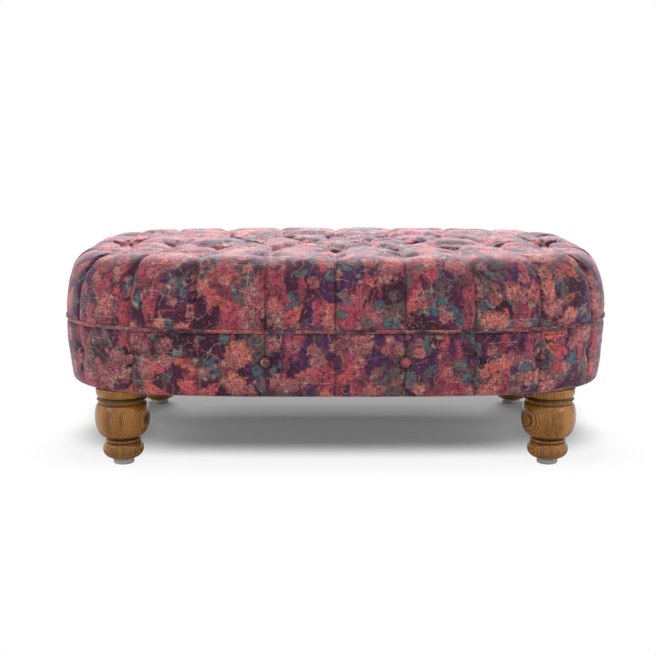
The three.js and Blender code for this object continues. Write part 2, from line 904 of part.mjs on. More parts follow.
const glideProfile = [
  [0, 0],
  [glideRadius - glideBevel, 0],
  [glideRadius, glideBevel],
  [glideRadius, glideHeight - glideBevel],
  [toeRadius, glideHeight],
  [glidePinRadius, glideHeight],
  [glidePinRadius, glideHeight + glidePinLength],
  [0, glideHeight + glidePinLength],
];

const boltProfile = [
  [0, boltBottom],
  [boltRadius, boltBottom],
  [boltRadius, teeFlangeTop + boltStandout],
  [0, teeFlangeTop + boltStandout],
];

const teeNutProfile = [
  [boltRadius + fitGap, teeFlangeBottom - teeBarrelLength],
  [teeBarrelRadius, teeFlangeBottom - teeBarrelLength],
  [teeBarrelRadius, teeFlangeBottom],
  [teeFlangeRadius, teeFlangeBottom],
  [teeFlangeRadius, teeFlangeTop],
  [boltRadius + fitGap, teeFlangeTop],
  [boltRadius + fitGap, teeFlangeBottom - teeBarrelLength],
];

function makeFeet() {
  for (const place of legPlaces) {
    const pieces = [
      addPart(`leg_${place.name}`, turned(legProfile(), legSegmentCount), oak),
      addPart(`glide_${place.name}`, turned(glideProfile, smallSegmentCount), felt),
      addPart(`hanger_bolt_${place.name}`, turned(boltProfile, smallSegmentCount), steel),
      addPart(`tee_nut_${place.name}`, turned(teeNutProfile, smallSegmentCount), steel),
    ];
    for (const piece of pieces) piece.position.set(place.x, place.y, 0);
  }
}

makeSeatCover();
makeSeatFoam();
makeTopButtons();
makePiping();
makeBorderCover();
makeBorderPadding();
makeSideWrap();
makeDeckBoard();
makeStuds();
makeCrossRails();
makeBottomBoard();
makeDustCover();
makeFeet();

export default tuffet;
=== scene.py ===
"""Looks of an oval deep-buttoned tuffet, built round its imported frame. Metres, +Z up, front to -Y."""
import math

import bmesh
import bpy
import numpy as np
from bpy.props import FloatProperty, FloatVectorProperty, PointerProperty
from mathutils import Matrix, Vector


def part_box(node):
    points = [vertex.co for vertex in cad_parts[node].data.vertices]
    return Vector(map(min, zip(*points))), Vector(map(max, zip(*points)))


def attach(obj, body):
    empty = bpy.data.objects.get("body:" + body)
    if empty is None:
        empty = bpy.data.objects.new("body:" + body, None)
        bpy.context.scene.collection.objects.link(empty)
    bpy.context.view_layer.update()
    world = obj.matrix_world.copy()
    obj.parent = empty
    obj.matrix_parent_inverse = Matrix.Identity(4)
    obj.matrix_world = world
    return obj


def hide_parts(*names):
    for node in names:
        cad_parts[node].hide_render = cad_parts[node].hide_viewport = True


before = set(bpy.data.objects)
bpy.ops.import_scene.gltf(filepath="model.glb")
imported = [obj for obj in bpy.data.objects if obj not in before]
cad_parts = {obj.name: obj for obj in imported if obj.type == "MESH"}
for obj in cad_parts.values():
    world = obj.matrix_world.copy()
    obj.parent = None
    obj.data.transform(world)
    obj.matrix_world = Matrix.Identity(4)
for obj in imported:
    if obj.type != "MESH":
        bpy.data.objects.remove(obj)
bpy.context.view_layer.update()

bl_info = {
    "name": "Deep-buttoned tuffet",
    "version": (1, 0, 0),
    "blender": (4, 5, 0),
    "location": "3D View > Sidebar > Tuffet",
    "description": "Builds the covers, buttons, piping, feet and stage of an oval tuffet",
    "category": "Add Mesh",
}

BODY = "root"
FEET = ("front_left", "front_right", "rear_right", "rear_left")
TOP_BUTTONS = [f"top_button_{index:02d}" for index in range(1, 19)]
# In the front right quarter, top buttons 1, 3 and 7 lie along the front, 11 and 13 in the middle row,
# and 15 and 17 at the end
# Buttons along the inner edge of each panel of that quarter, from the front round to the end
RIM_PANELS = ((1, 11, 3), (3, 13, 7), (7, 15), (15, 17), (17,), (17,))
# Front and outer button of the middle puff, and front, outer and inner button of each puff beside it
MIDDLE_PUFF = (1, 11)
SIDE_PUFFS = ((3, 13, 11), (7, 15, 13))
QUARTERS = ((1, 1), (1, -1), (-1, -1), (-1, 1))
PLEATS = len(QUARTERS) * len(RIM_PANELS)
PLAN_POWER = 3.6
OUTLINE_STEPS = 2880
WELD = 0.00005
CLOTH_MAP = "cloth"
GRAIN = "grain"
GROOVE = "groove"
# Attribute of painted shade: how much the cloth darkens along its creases and round the border buttons
PAINTED_CREASE_SHADE = "fold"
HELD = "held"


def middle(node):
    """The centre of a CAD node's box."""
    low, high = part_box(node)
    return (low + high) / 2


PIPING_PROUD = 0.0022
HALF_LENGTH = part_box("seam_piping")[1].x - PIPING_PROUD
HALF_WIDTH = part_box("seam_piping")[1].y - PIPING_PROUD
HALVES = np.array([HALF_LENGTH, HALF_WIDTH])
SEAM_HEIGHT = middle("seam_piping").z
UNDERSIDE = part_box("border_cover")[0].z
BORDER_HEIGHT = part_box("border_cover")[1].z - UNDERSIDE
CROWN_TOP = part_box("seat_cover")[1].z
FOAM_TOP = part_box("seat_foam")[1].z


def number(name, description, default, **more):
    return FloatProperty(name=name, description=description, default=default, **more)


def length(name, description, default):
    return number(name, description, default, unit="LENGTH", precision=4)


def colour(name, description, default):
    return FloatVectorProperty(
        name=name, description=description, default=default, size=3, subtype="COLOR", min=0, max=1
    )


class TuffetSizes(bpy.types.PropertyGroup):
    """Sizes of the upholstery that the frame's boxes don't give."""

    crown_rise: length("Crown", "Rise of the top from its rim to its middle", 0.004)
    shoulder: length("Shoulder", "Run of the rounded shoulder in from the outline", 0.07)
    shoulder_power: number("Shoulder power", "2 is round, more is squarer", 2.4)
    front_roll: length("Front roll", "How much further the shoulder runs in at the front and rear", 0.03)
    button_depth: length("Button depth", "How deep the buttons pull the top down", 0.024)
    crease_depth: length("Crease depth", "Depth of a crease halfway between two buttons", 0.008)
    rim_pleat: length("Rim pleat", "Depth of the pleats at the rim", 0.0035)
    stitch_depth: length("Stitched line", "Depth of the narrow line where a pleat is folded in", 0.0015)
    stitch_width: length("Stitched line width", "Half width of that narrow line", 0.0026)
    seam_tuck: length("Seam tuck", "How far the covers draw in at the piping", 0.0065)
    seam_roll: length("Seam roll", "Height over which the top rolls out of the seam", 0.012)
    puff_reach: length("Puff reach", "Distance over which a puff fills from its inner edge", 0.075)
    settle_limit: length("Settling", "How far the simulated cloth of the top may move", 0.0035)
    button_radius: length("Button radius", "Radius of the buttons of the top", 0.013)
    border_button_radius: length("Border button", "Radius of the buttons of the border", 0.0095)
    border_pleat: length("Border pleat", "Depth of the border's pleats at its buttons", 0.005)
    piping_radius: length("Piping radius", "Radius of the covered cord in the seam", 0.0036)
    foam_inset: length("Foam inset", "Foam and pocket in from the outline", 0.0145)
    foam_run: length("Foam shoulder run", "Run of the foam's rounded shoulder", 0.055)
    foam_drop: length("Foam shoulder drop", "Drop of the foam's rounded shoulder", 0.062)
    foam_crown: length("Foam crown", "Rise of the foam from its rim to its middle", 0.003)


class TuffetColours(bpy.types.PropertyGroup):
    """Colours of the printed cloth, the wood and the fittings."""

    ground: colour("Ground", "Plum ground of the print", (0.078, 0.016, 0.042))
    deep: colour("Deep ground", "Darkest aubergine of the print", (0.026, 0.007, 0.022))
    violet: colour("Violet", "Blue violet washes of the print", (0.07, 0.024, 0.09))
    coral: colour("Coral", "Coral leaves and petals", (0.58, 0.085, 0.115))
    orange: colour("Orange", "Orange touches", (0.63, 0.145, 0.095))
    raspberry: colour("Raspberry", "Raspberry petals", (0.38, 0.028, 0.09))
    rose: colour("Rose", "Faded rose bands", (0.35, 0.09, 0.1))
    teal: colour("Teal", "Teal patches", (0.07, 0.15, 0.17))
    leaf: colour("Grey green", "Grey green foliage", (0.12, 0.1, 0.085))
    cream: colour("Cream", "Cream flowers and petal edges", (0.72, 0.46, 0.37))
    wood_light: colour("Light oak", "Pale wood between the growth rings", (0.57, 0.235, 0.032))
    # The dark oak also gives the painted shade in the grooves
    wood_dark: colour("Dark oak", "Growth rings and stained grooves", (0.085, 0.028, 0.004))
    glide: colour("Glide", "Glides under the feet", (0.42, 0.42, 0.4))
    cambric: colour("Dust cloth", "Black cloth under the frame", (0.018, 0.018, 0.02))


class TuffetStage(bpy.types.PropertyGroup):
    """Camera and lamps."""

    focal: number("Focal length", "Lens, in mm on 36 mm", 63.66)
    camera_back: length("Camera distance", "Camera in front of the middle", 2.463)
    camera_height: length("Camera height", "Camera above the floor", 0.69)
    camera_pitch: number("Pitch", "How far the camera looks down", 0.186, subtype="ANGLE")
    key_power: number("Key", "Power of the front softbox in W", 7)
    top_power: number("Overhead", "Power of the overhead softbox in W", 140)
    fill_power: number("Side", "Power of each side softbox in W", 10)
    world_strength: number("World", "Strength of the even light", 0.48)


# Outline of the oval

def polar_points(angles):
    across = np.abs(np.cos(angles) / HALF_LENGTH) ** PLAN_POWER
    along = np.abs(np.sin(angles) / HALF_WIDTH) ** PLAN_POWER
    radius = (across + along) ** (-1 / PLAN_POWER)
    return np.stack([radius * np.cos(angles), radius * np.sin(angles)], -1)


def run_along(points):
    """Distance along a row of points, from its first one."""
    steps = np.linalg.norm(np.diff(points, axis=0), axis=-1)
    return np.concatenate([np.zeros_like(steps[:1]), np.cumsum(steps, axis=0)])


OUTLINE_ANGLES = np.linspace(-math.pi / 2, 1.5 * math.pi, OUTLINE_STEPS + 1)
OUTLINE_RUN = run_along(polar_points(OUTLINE_ANGLES))
PERIMETER = OUTLINE_RUN[-1]


def outline(shares):
    """Points of the outline and their outward normals, at shares of the perimeter from the front."""
    angles = np.interp(np.mod(shares, 1) * PERIMETER, OUTLINE_RUN, OUTLINE_ANGLES)
    points = polar_points(angles)
    slopes = np.sign(points) * np.abs(points / HALVES) ** (PLAN_POWER - 1) / HALVES
    return points, slopes / np.linalg.norm(slopes, axis=-1, keepdims=True)


def ring(shares, inset, height, out=1):
    """A row of points inside the outline, drawn to the middle by the share of the way out."""
    points, normals = outline(shares)
    plan = (points - normals * np.asarray(inset)[..., None]) * out
    return np.column_stack([plan, np.full(len(plan), height)])


def ripple(points, seed, wavelength, waves=14):
    """Smooth unevenness from -1 to 1, the same on every run."""
    random = np.random.default_rng(seed)
    total = np.zeros(len(points))
    for _ in range(waves):
        direction = random.normal(size=3)
        direction /= np.linalg.norm(direction)
        turns = 2 * math.pi / (wavelength * random.uniform(0.7, 1.5))
        total += np.sin(points @ direction * turns + random.uniform(0, 2 * math.pi))
    return total / math.sqrt(waves * 2)


def smooth(low, high, value):
    share = np.clip((value - low) / (high - low), 0, 1)
    return share * share * (3 - 2 * share)


def bell(distance, reach):
    """1 at no distance, falling away over the reach."""
    return np.exp(-((distance / reach) ** 2))


# Mesh making

def store(mesh, name, values):
    """Stores a number or a vector for each point."""
    values = np.asarray(values, np.float32)
    kind, key = ("FLOAT", "value") if values.ndim == 1 else ("FLOAT_VECTOR", "vector")
    mesh.attributes.new(name, kind, "POINT").data.foreach_set(key, values.ravel())


class Shell:
    """Grids of points, each with its place on the flat cloth, gathered into one welded mesh."""

    def __init__(self):
        self.points, self.places, self.folds, self.held, self.faces, self.count = [], [], [], [], [], 0

    def add(self, points, places, flipped=False, folds=0, held=1):
        grid = points.shape[:2]
        size = grid[0] * grid[1]
        at = self.count + np.arange(size).reshape(grid)
        corners = [at[:-1, :-1], at[:-1, 1:], at[1:, 1:], at[1:, :-1]]
        if flipped:
            corners.reverse()
        self.faces.append(np.stack(corners, -1).reshape(-1, 4))
        self.points.append(points.reshape(-1, 3))
        self.places.append(places.reshape(-1, 2))
        self.folds.append(np.broadcast_to(folds, grid).ravel())
        self.held.append(np.broadcast_to(held, grid).ravel())
        self.count += size

    def build(self, name, weld=WELD):
        faces = np.concatenate(self.faces)
        mesh = bpy.data.meshes.new(name)
        mesh.from_pydata(np.concatenate(self.points).tolist(), [], faces.tolist())
        # The fold values are painted shade, darkening the colour along creases and round the border buttons
        store(mesh, PAINTED_CREASE_SHADE, np.concatenate(self.folds))
        store(mesh, HELD, np.concatenate(self.held))
        places = np.concatenate(self.places)[faces.ravel()]
        mesh.uv_layers.new(name=CLOTH_MAP).uv.foreach_set("vector", places.astype(np.float32).ravel())
        edit = bmesh.new()
        edit.from_mesh(mesh)
        bmesh.ops.remove_doubles(edit, verts=edit.verts, dist=weld)
        bmesh.ops.dissolve_degenerate(edit, edges=edit.edges, dist=weld / 2)
        bmesh.ops.recalc_face_normals(edit, faces=edit.faces)
        edit.to_mesh(mesh)
        edit.free()
        mesh.shade_smooth()
        piece = bpy.data.objects.new(name, mesh)
        bpy.context.scene.collection.objects.link(piece)
        return piece


def from_grid(name, grid, places, weld=WELD):
    shell = Shell()
    shell.add(grid, places)
    return shell.build(name, weld)


def from_levels(name, levels, segments, weld=WELD):
    """A piece of rings, given by their insets, heights and shares of the way out from the middle."""
    shares = np.linspace(0, 1, segments + 1)
    grid = np.array([ring(shares, *level) for level in levels])
    places = np.stack(np.broadcast_arrays(shares * PERIMETER, run_along(grid[:, 0])[:, None]), -1)
    return from_grid(name, grid, places, weld)


def turned(name, profile, centre, segments, offset=(0, 0)):
    """A piece turned round a vertical axis, from its profile of radii and heights."""
    angles = np.linspace(0, 2 * math.pi, segments + 1)
    radii, heights = np.array(profile, float).T[..., None]
    plan = centre[0] + radii * np.cos(angles), centre[1] + radii * np.sin(angles)
    grid = np.stack(np.broadcast_arrays(*plan, heights), -1)
    return from_grid(name, grid, grid[..., :2] + offset)


def read(piece, what="co"):
    """The positions of a piece's points, or their normals."""
    values = np.empty(len(piece.data.vertices) * 3)
    piece.data.vertices.foreach_get(what, values)
    return values.reshape(-1, 3)


def write_points(piece, points):
    piece.data.vertices.foreach_set("co", points.ravel())
    piece.data.update()


def finish_piece(piece, material, slot, *nodes):
    piece.data.materials.append(material)
    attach(piece, BODY)
    if nodes:
        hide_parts(*nodes)
    return piece


# Node making

class Wire:
    """An output of a node, to write sums with. Each step adds a node."""

    def __init__(self, nodes, socket):
        self.nodes = nodes
        self.socket = socket

    def math(self, operation, *others):
        return self.nodes.put("Math", dict(enumerate((self, *others))), operation=operation)[0]

    def vector(self, operation, *others):
        return self.nodes.put("VectorMath", dict(enumerate((self, *others))), operation=operation)

    def __add__(self, other):
        return self.math("ADD", other)

    def __sub__(self, other):
        return self.math("SUBTRACT", other)

    def __mul__(self, other):
        return self.math("MULTIPLY", other)

    def __truediv__(self, other):
        return self.math("DIVIDE", other)

    def __rtruediv__(self, other):
        return self.nodes.put("Math", {0: other, 1: self}, operation="DIVIDE")[0]

    def __abs__(self):
        return self.math("ABSOLUTE")

    def inverse(self):
        return self.nodes.put("Math", {0: 1.0, 1: self}, operation="SUBTRACT")[0]

    def shift(self, by):
        return self.vector("ADD", by)[0]

    def slide(self, across, up):
        """Moves a place on the flat cloth."""
        return self.shift((across, up, 0.0))

    def stretch(self, factors):
        return self.vector("MULTIPLY", factors)[0]

    def length(self):
        return self.vector("LENGTH")["Value"]

    def parts(self):
        return self.nodes.put("SeparateXYZ", {0: self})

    def ramp(self, low, high, to_low=0.0, to_high=1.0):
        inputs = dict(enumerate((self, low, high, to_low, to_high)))
        return self.nodes.put("MapRange", inputs, interpolation_type="SMOOTHSTEP", clamp=True)[0]

    def towards(self, other, factor):
        """A blend of two colours or vectors."""
        return self.nodes.blend(factor, self, other)

    def noise(self, scale, detail=2.0, roughness=0.5, output=0):
        inputs = {"Vector": self, "Scale": scale, "Detail": detail, "Roughness": roughness}
        return self.nodes.put("TexNoise", inputs, noise_dimensions="3D")[output]


class Outputs:
    """The outputs of a node as wires."""

    def __init__(self, nodes, node):
        self.nodes = nodes
        self.node = node

    def __getitem__(self, key):
        return Wire(self.nodes, self.node.outputs[key])


class Nodes:
    """Adds nodes to a tree."""

    def __init__(self, tree):
        self.tree = tree

    def fill(self, sockets, inputs):
        """Links wires to inputs, and sets the inputs that are given a value."""
        for key, value in inputs.items():
            if isinstance(value, Wire):
                self.tree.links.new(value.socket, sockets[key])
            else:
                sockets[key].default_value = value

    def put(self, kind, inputs=None, **settings):
        node = self.tree.nodes.new(f"ShaderNode{kind}")
        for name, value in settings.items():
            setattr(node, name, value)
        self.fill(node.inputs, inputs or {})
        return Outputs(self, node)

    def blend(self, factor, first, second):
        return self.put("Mix", {0: factor, 6: first, 7: second}, data_type="RGBA")[2]

    def shared(self, name, make, inputs):
        """A node group, made when it is first asked for."""
        return self.put("Group", inputs, node_tree=bpy.data.node_groups.get(name) or make(name))

    def mix_shaders(self, share, first, second):
        return self.put("MixShader", {0: share, 1: first, 2: second})[0]


def new_group(name, inputs, outputs):
    """A shader node group. Each socket is a name with its kind, and a default if it has one."""
    tree = bpy.data.node_groups.new(name, "ShaderNodeTree")
    for socket, kind, *default in inputs:
        made = tree.interface.new_socket(socket, in_out="INPUT", socket_type=f"NodeSocket{kind}")
        if default:
            made.default_value = default[0]
    for socket, kind in outputs:
        tree.interface.new_socket(socket, in_out="OUTPUT", socket_type=f"NodeSocket{kind}")
    nodes = Nodes(tree)
    given = Outputs(nodes, tree.nodes.new("NodeGroupInput"))
    return nodes, given, tree.nodes.new("NodeGroupOutput").inputs


def new_material(name, colour_value):
    """A material with its nodes and the inputs of its shader."""
    material = bpy.data.materials.new(name)
    material.use_nodes = True
    material.diffuse_color = opaque(colour_value)
    return material, Nodes(material.node_tree), material.node_tree.nodes["Principled BSDF"].inputs


def opaque(colour_value):
    return (*colour_value, 1.0)


def grey(value):
    return opaque((value,) * 3)


def bump(height, strength, distance):
    return height.nodes.put("Bump", {"Height": height, "Strength": strength, "Distance": distance})[0]


# Shared effects

SLUB = 0.09
SLUB_SCALE = 420.0


def weave_group(name):
    """Plain slubby weave: a light and dark value for the colour, and the threads' height."""
    inputs = [("Vector", "Vector"), ("Threads", "Float", 620.0)]
    nodes, given, result = new_group(name, inputs, [("Shade", "Float"), ("Height", "Float")])
    place = given["Vector"]
    parts = place.parts()
    turns = given["Threads"] * 6.283
    warp, weft = ((parts[axis] * turns).math("SINE") for axis in (0, 1))
    up, over = (place.stretch(way).noise(SLUB_SCALE) for way in ((1.0, SLUB, 1.0), (SLUB, 1.0, 1.0)))
    slubs = up + over
    nodes.fill(result, {"Height": slubs * 0.8 + (warp + weft) * 0.25, "Shade": slubs.ramp(0.78, 1.22)})
    return nodes.tree


def scatter(vector, scale, randomness=0.85):
    """Motif places: the vector from the nearest one, and its random numbers."""
    inputs = {"Vector": vector, "Scale": scale, "Randomness": randomness}
    cells = vector.nodes.put("TexVoronoi", inputs, voronoi_dimensions="2D", feature="F1")
    random = vector.nodes.put("SeparateColor", {0: cells["Color"]})
    return vector.vector("SUBTRACT", cells["Position"])[0], random


def blossoms(vector, ruffle, ground, tones, scale, radius, chance, where=1.0):
    """Ruffled round blossoms: a warm heart with rows of paler petals round it."""
    local, random = scatter(vector, scale)
    parts = local.parts()
    count = (random[0] * 3.9).math("FLOOR") + 5.0
    angle = parts[1].math("ARCTAN2", parts[0]) + random[1] * 6.28
    folded = (angle + 4 * math.pi).math("PINGPONG", math.pi / count)
    share = folded * count / math.pi
    size = (random[1] * 0.5 + 0.7) * radius
    reach = local.length() / size + share * share * 0.24 + (ruffle - 0.5) * 1.1
    row = (reach.math("MAXIMUM", 0.0) * 2.7).math("FRACT")
    heart = tones["Raspberry"].towards(tones["Coral"], random[0].ramp(0.4, 0.44))
    outer = tones["Rose"].towards(tones["Orange"], random[0].ramp(0.6, 0.64))
    petal = heart.towards(outer, reach.ramp(0.3, 0.6))
    petal = petal.towards(tones["Cream"], row.ramp(0.45, 1.0, 0.0, 0.7))
    petal = petal.towards(tones["Ground"], row.ramp(0.3, 0.0, 0.0, 0.65))
    chosen = reach.ramp(1.02, 0.9) * random[2].ramp(chance, chance + 0.02)
    return ground.towards(petal, chosen * where)


STALK_THICKNESS = 0.009


def scrolls(place, offset, scale, ground, line, strength):
    """Thin winding stalks, drawn only here and there."""
    away = abs(place.slide(*offset).noise(scale, 0.0) - 0.5)
    here = place.slide(*offset[::-1]).noise(13.0).ramp(0.47, 0.53)
    drawn = away.ramp(STALK_THICKNESS * 2, STALK_THICKNESS * 0.5, 0.0, strength)
    return ground.towards(line, drawn * here)


def leaves(vector, ground, first, second, scale, half_length, chance, where=1.0):
    """Slender almond leaves, each with a dark rib and its own lean."""
    local, random = scatter(vector, scale, 1.0)
    inputs = {"Vector": local, "Angle": random[0] * 6.28}
    parts = vector.nodes.put("VectorRotate", inputs, rotation_type="Z_AXIS")[0].parts()
    along = parts[1] / half_length
    square = along * along
    across = abs(parts[0] / half_length - square * 0.25)
    inside = (across - square.inverse() * 0.36).ramp(0.05, -0.03)
    tone = first.towards(second, along.ramp(-0.7, 0.7))
    tone = tone.towards(ground, across.ramp(0.07, 0.02, 0.0, 0.6))
    return ground.towards(tone, inside * random[2].ramp(chance, chance + 0.02) * where)


def wash(place, offset, scale, low, high, strength, tall=1.0):
    """Mask of soft patches of dye."""
    moved = place.slide(*offset).stretch((1.0, tall, 1.0))
    return moved.noise(scale, 3.0, 0.58).ramp(low, high, 0.0, strength)


PRINT_TONES = ("Ground", "Deep", "Violet", "Coral", "Orange", "Raspberry", "Rose", "Teal", "Leaf", "Cream")
# Tone, offset, scale, low, high, strength and upward squeeze of the patches of dye on the ground
WASHES = (
    ("Deep", (0, 0), 9.0, 0.42, 0.56, 1.0),
    ("Violet", (9.1, 6.7), 7.5, 0.5, 0.57, 0.9, 0.8),
    ("Leaf", (3.1, 1.7), 13.0, 0.54, 0.59, 0.85),
    ("Teal", (4.4, 9.2), 17.0, 0.58, 0.62, 0.85, 0.8),
)
# Tone, low, high and strength of the small blots over the whole print
BLOTS = (("Rose", 0.55, 0.66, 0.55), ("Cream", 0.61, 0.7, 0.7), ("Deep", 0.48, 0.38, 0.85))


def print_group(name):
    """A faded blossom print: washes of dye, leaves and blossoms in clusters, worn along the threads."""
    inputs = [("Vector", "Vector"), *((tone, "Color") for tone in PRINT_TONES), ("Wear", "Float", 0.5)]
    nodes, given, result = new_group(name, inputs, [("Color", "Color")])
    tones = {tone: given[tone] for tone in PRINT_TONES}
    ground, deep, rose, coral = (tones[tone] for tone in ("Ground", "Deep", "Rose", "Coral"))
    flat = given["Vector"]
    drift = flat.noise(60.0, 5.0, 0.7, output=1).shift((-0.5, -0.5, -0.5))
    place = flat.shift(drift.stretch((0.022, 0.022, 0.0)))
    mottle = place.slide(1.3, 5.1).noise(90.0, 6.0, 0.74)
    ruffle = place.slide(4.9, 3.1).noise(120.0, 4.0, 0.65)
    up, over = (flat.stretch(way).noise(360.0, 3.0, 0.65) for way in ((1.0, 0.12, 1.0), (0.12, 1.0, 1.0)))
    rubbed = up + over - 1.0
    tone = ground
    for dye, *patches in WASHES:
        tone = tone.towards(tones[dye], wash(place, *patches))
    dusty = rose.towards(ground, 0.5)
    tone = tone.towards(dusty, (rubbed * 0.7 + mottle).ramp(0.52, 0.68, 0.0, 0.7))
    faded = rose.towards(coral, 0.5).towards(tones["Raspberry"], mottle.ramp(0.5, 0.6))
    faded = faded.towards(coral, mottle.ramp(0.47, 0.4))
    varied = place.slide(8.2, 1.1).noise(24.0, 3.0)
    faded = faded.towards(dusty, varied.ramp(0.49, 0.56, 0.0, 0.85))
    tone = tone.towards(faded, wash(place, (7.3, 2.2), 15.0, 0.52, 0.55, 0.88, 0.28))
    crowd = flat.slide(2.2, 8.8).noise(7.0, 1.0)
    thick = crowd.ramp(0.47, 0.53, 0.0, 0.92)
    thin = crowd.ramp(0.56, 0.48, 0.0, 0.92)
    tone = leaves(place.slide(6.0, 6.0), tone, tones["Leaf"], tones["Teal"], 22.0, 0.02, 0.5)
    tone = leaves(place.slide(8.0, 4.0), tone, coral, tones["Orange"], 15.0, 0.03, 0.55, thin)
    stalks = place.towards(flat, 0.35)
    tone = scrolls(stalks, (1.2, 7.9), 17.0, tone, rose, 0.7)
    tone = blossoms(place.slide(0.37, 0.21), ruffle, tone, tones, 12.0, 0.036, 0.4, thick)
    tone = blossoms(place.slide(5.37, 3.21), ruffle, tone, tones, 27.0, 0.0155, 0.6, 0.85)
    tone = scrolls(stalks, (6.6, 2.9), 26.0, tone, tones["Cream"], 0.35)
    pale = {**tones, "Coral": tones["Cream"], "Orange": tones["Leaf"]}
    sprays = crowd.ramp(0.44, 0.5, 0.0, 0.7)
    tone = blossoms(place.slide(2.7, 0.6), ruffle, tone, pale, 52.0, 0.009, 0.74, sprays)
    blots = flat.slide(3.3, 3.3).noise(130.0, 5.0, 0.74)
    for dye, low, high, strength in BLOTS:
        tone = tone.towards(tones[dye], blots.ramp(low, high, 0.0, strength))
    worn = (rubbed * 0.8 + flat.noise(26.0, 3.0)).ramp(0.5, 0.68) * given["Wear"]
    nodes.fill(result, {"Color": tone.towards(ground.towards(deep, 0.5), worn)})
    return nodes.tree


# Share by which the cloth's colour darkens where the fold attribute is full: painted shade in creases and
# round the border buttons
FOLD_SHADE = 0.35


def cloth_material(colours):
    """Printed linen velvet. The print lies on the flat cloth's own map."""
    name = "printed_cloth"
    if name in bpy.data.materials:
        return bpy.data.materials[name]
    material, nodes, shader = new_material(name, colours.raspberry)
    flat = nodes.put("UVMap", uv_map=CLOTH_MAP)[0]
    tones = {tone: opaque(getattr(colours, tone.lower())) for tone in PRINT_TONES}
    printed = nodes.shared("faded_blossom_print", print_group, {"Vector": flat, **tones})["Color"]
    weave = nodes.shared("slub_weave", weave_group, {"Vector": flat})
    # Painted shade: the colour darkens along the creases and round the border buttons
    fold = nodes.put("Attribute", attribute_name=PAINTED_CREASE_SHADE)["Fac"]
    shade = weave["Shade"].ramp(0.0, 1.0, 0.84, 1.14) * (fold * FOLD_SHADE).inverse()
    nodes.fill(shader, {
        "Base Color": nodes.put("VectorMath", {0: printed, "Scale": shade}, operation="SCALE")[0],
        "Roughness": weave["Shade"].ramp(0.0, 1.0, 0.92, 0.74),
        "Normal": bump(weave["Height"], 0.35, 0.0006),
        "Sheen Weight": 0.45,
        "Sheen Roughness": 0.45,
        "Sheen Tint": (1.0, 0.76, 0.84, 1.0),
        "Specular IOR Level": 0.25,
    })
    return material


def wood_group(name):
    """Growth rings, fibres and pores of oak, from a place inside the wood."""
    inputs = [("Vector", "Vector"), ("Light", "Color"), ("Dark", "Color"), ("Ring", "Float", 0.0024)]
    outputs = [("Color", "Color"), ("Shade", "Float"), ("Height", "Float")]
    nodes, given, result = new_group(name, inputs, outputs)
    place = given["Vector"]
    wander = place.stretch((1.0, 1.0, 0.25)).noise(22.0) * 0.009
    turns = (place.stretch((1.0, 1.0, 0.0)).length() + wander) / given["Ring"]
    year = turns.math("FRACT").math("POWER", 2.2)
    fibres = place.stretch((1.0, 1.0, 0.03)).noise(420.0, 4.0, 0.7)
    broad = place.stretch((1.0, 1.0, 0.12)).noise(32.0)
    pores = place.stretch((1.0, 1.0, 0.06)).noise(1500.0, 1.0).ramp(0.62, 0.7)
    dark = (year * 0.3 + fibres * 0.75 + broad * 0.65 + pores * year * 0.35).ramp(0.54, 1.06)
    tone = given["Light"].towards(given["Dark"], dark)
    nodes.fill(result, {"Color": tone, "Shade": dark, "Height": fibres * 0.5 - pores})
    return nodes.tree


def turned_wood_material(colours):
    """Satin lacquered oak, its colour darkened in the grooves as painted shade."""
    material, nodes, shader = new_material("satin_oak", colours.wood_light)
    place = nodes.put("Attribute", attribute_name=GRAIN)["Vector"]
    groove = nodes.put("Attribute", attribute_name=GROOVE)["Fac"]
    tones = {"Light": opaque(colours.wood_light), "Dark": opaque(colours.wood_dark)}
    wood = nodes.shared("oak_grain", wood_group, {"Vector": place, **tones})
    # Painted shade in the grooves: the colour darkens towards near black by how deep a point lies
    groove_shade = nodes.blend(0.75, tones["Dark"], (0.02, 0.008, 0.002, 1.0))
    nodes.fill(shader, {
        "Base Color": wood["Color"].towards(groove_shade, groove * 0.9),
        "Roughness": wood["Shade"].ramp(0.0, 1.0, 0.3, 0.46),
        "Normal": bump(wood["Height"], 0.16, 0.0004),
        "Coat Weight": 0.4,
        "Coat Roughness": 0.12,
        "Specular IOR Level": 0.3,
    })
    return material


def raw_material(name, base, second, scale, roughness, stretched=(1, 1, 1)):
    """Unseen inner pieces: raw board, timber, foam or cloth, mottled at its own scale."""
    material, nodes, shader = new_material(name, base)
    mottle = nodes.put("TexCoord")["Object"].stretch(stretched).noise(scale, 4.0, 0.6)
    nodes.fill(shader, {
        "Base Color": nodes.blend(mottle.ramp(0.35, 0.65), opaque(base), opaque(second)),
        "Roughness": mottle.ramp(0.3, 0.7, roughness - 0.08, roughness + 0.08),
        "Normal": bump(mottle, 0.2, 0.0005),
    })
    return material


def steel_material():
    material, nodes, shader = new_material("zinc_steel", (0.6, 0.61, 0.63))
    spangle = nodes.put("TexCoord")["Object"].noise(900.0, 3.0)
    nodes.fill(shader, {
        "Base Color": nodes.blend(spangle, (0.5, 0.51, 0.53, 1), (0.7, 0.7, 0.71, 1)),
        "Roughness": spangle.ramp(0.3, 0.7, 0.28, 0.45),
        "Metallic": 1.0,
    })
    return material


# Surfaces of the top

# Fullness of a puff's crest, and of the straighter panels at the seam
PUFF_POWER = 2.6
SIDE_POWER = 9.0
# How steeply the pull of the buttons fades along a crease, and up a panel
CREASE_POWER = 1.6
PULL_POWER = 3.2
# Share of a panel's run over which its plan bends towards the buttons
BEND = 0.4
# Share of the way in from the shoulder where a panel has reached the crown
CROWN_SHARE = 0.25


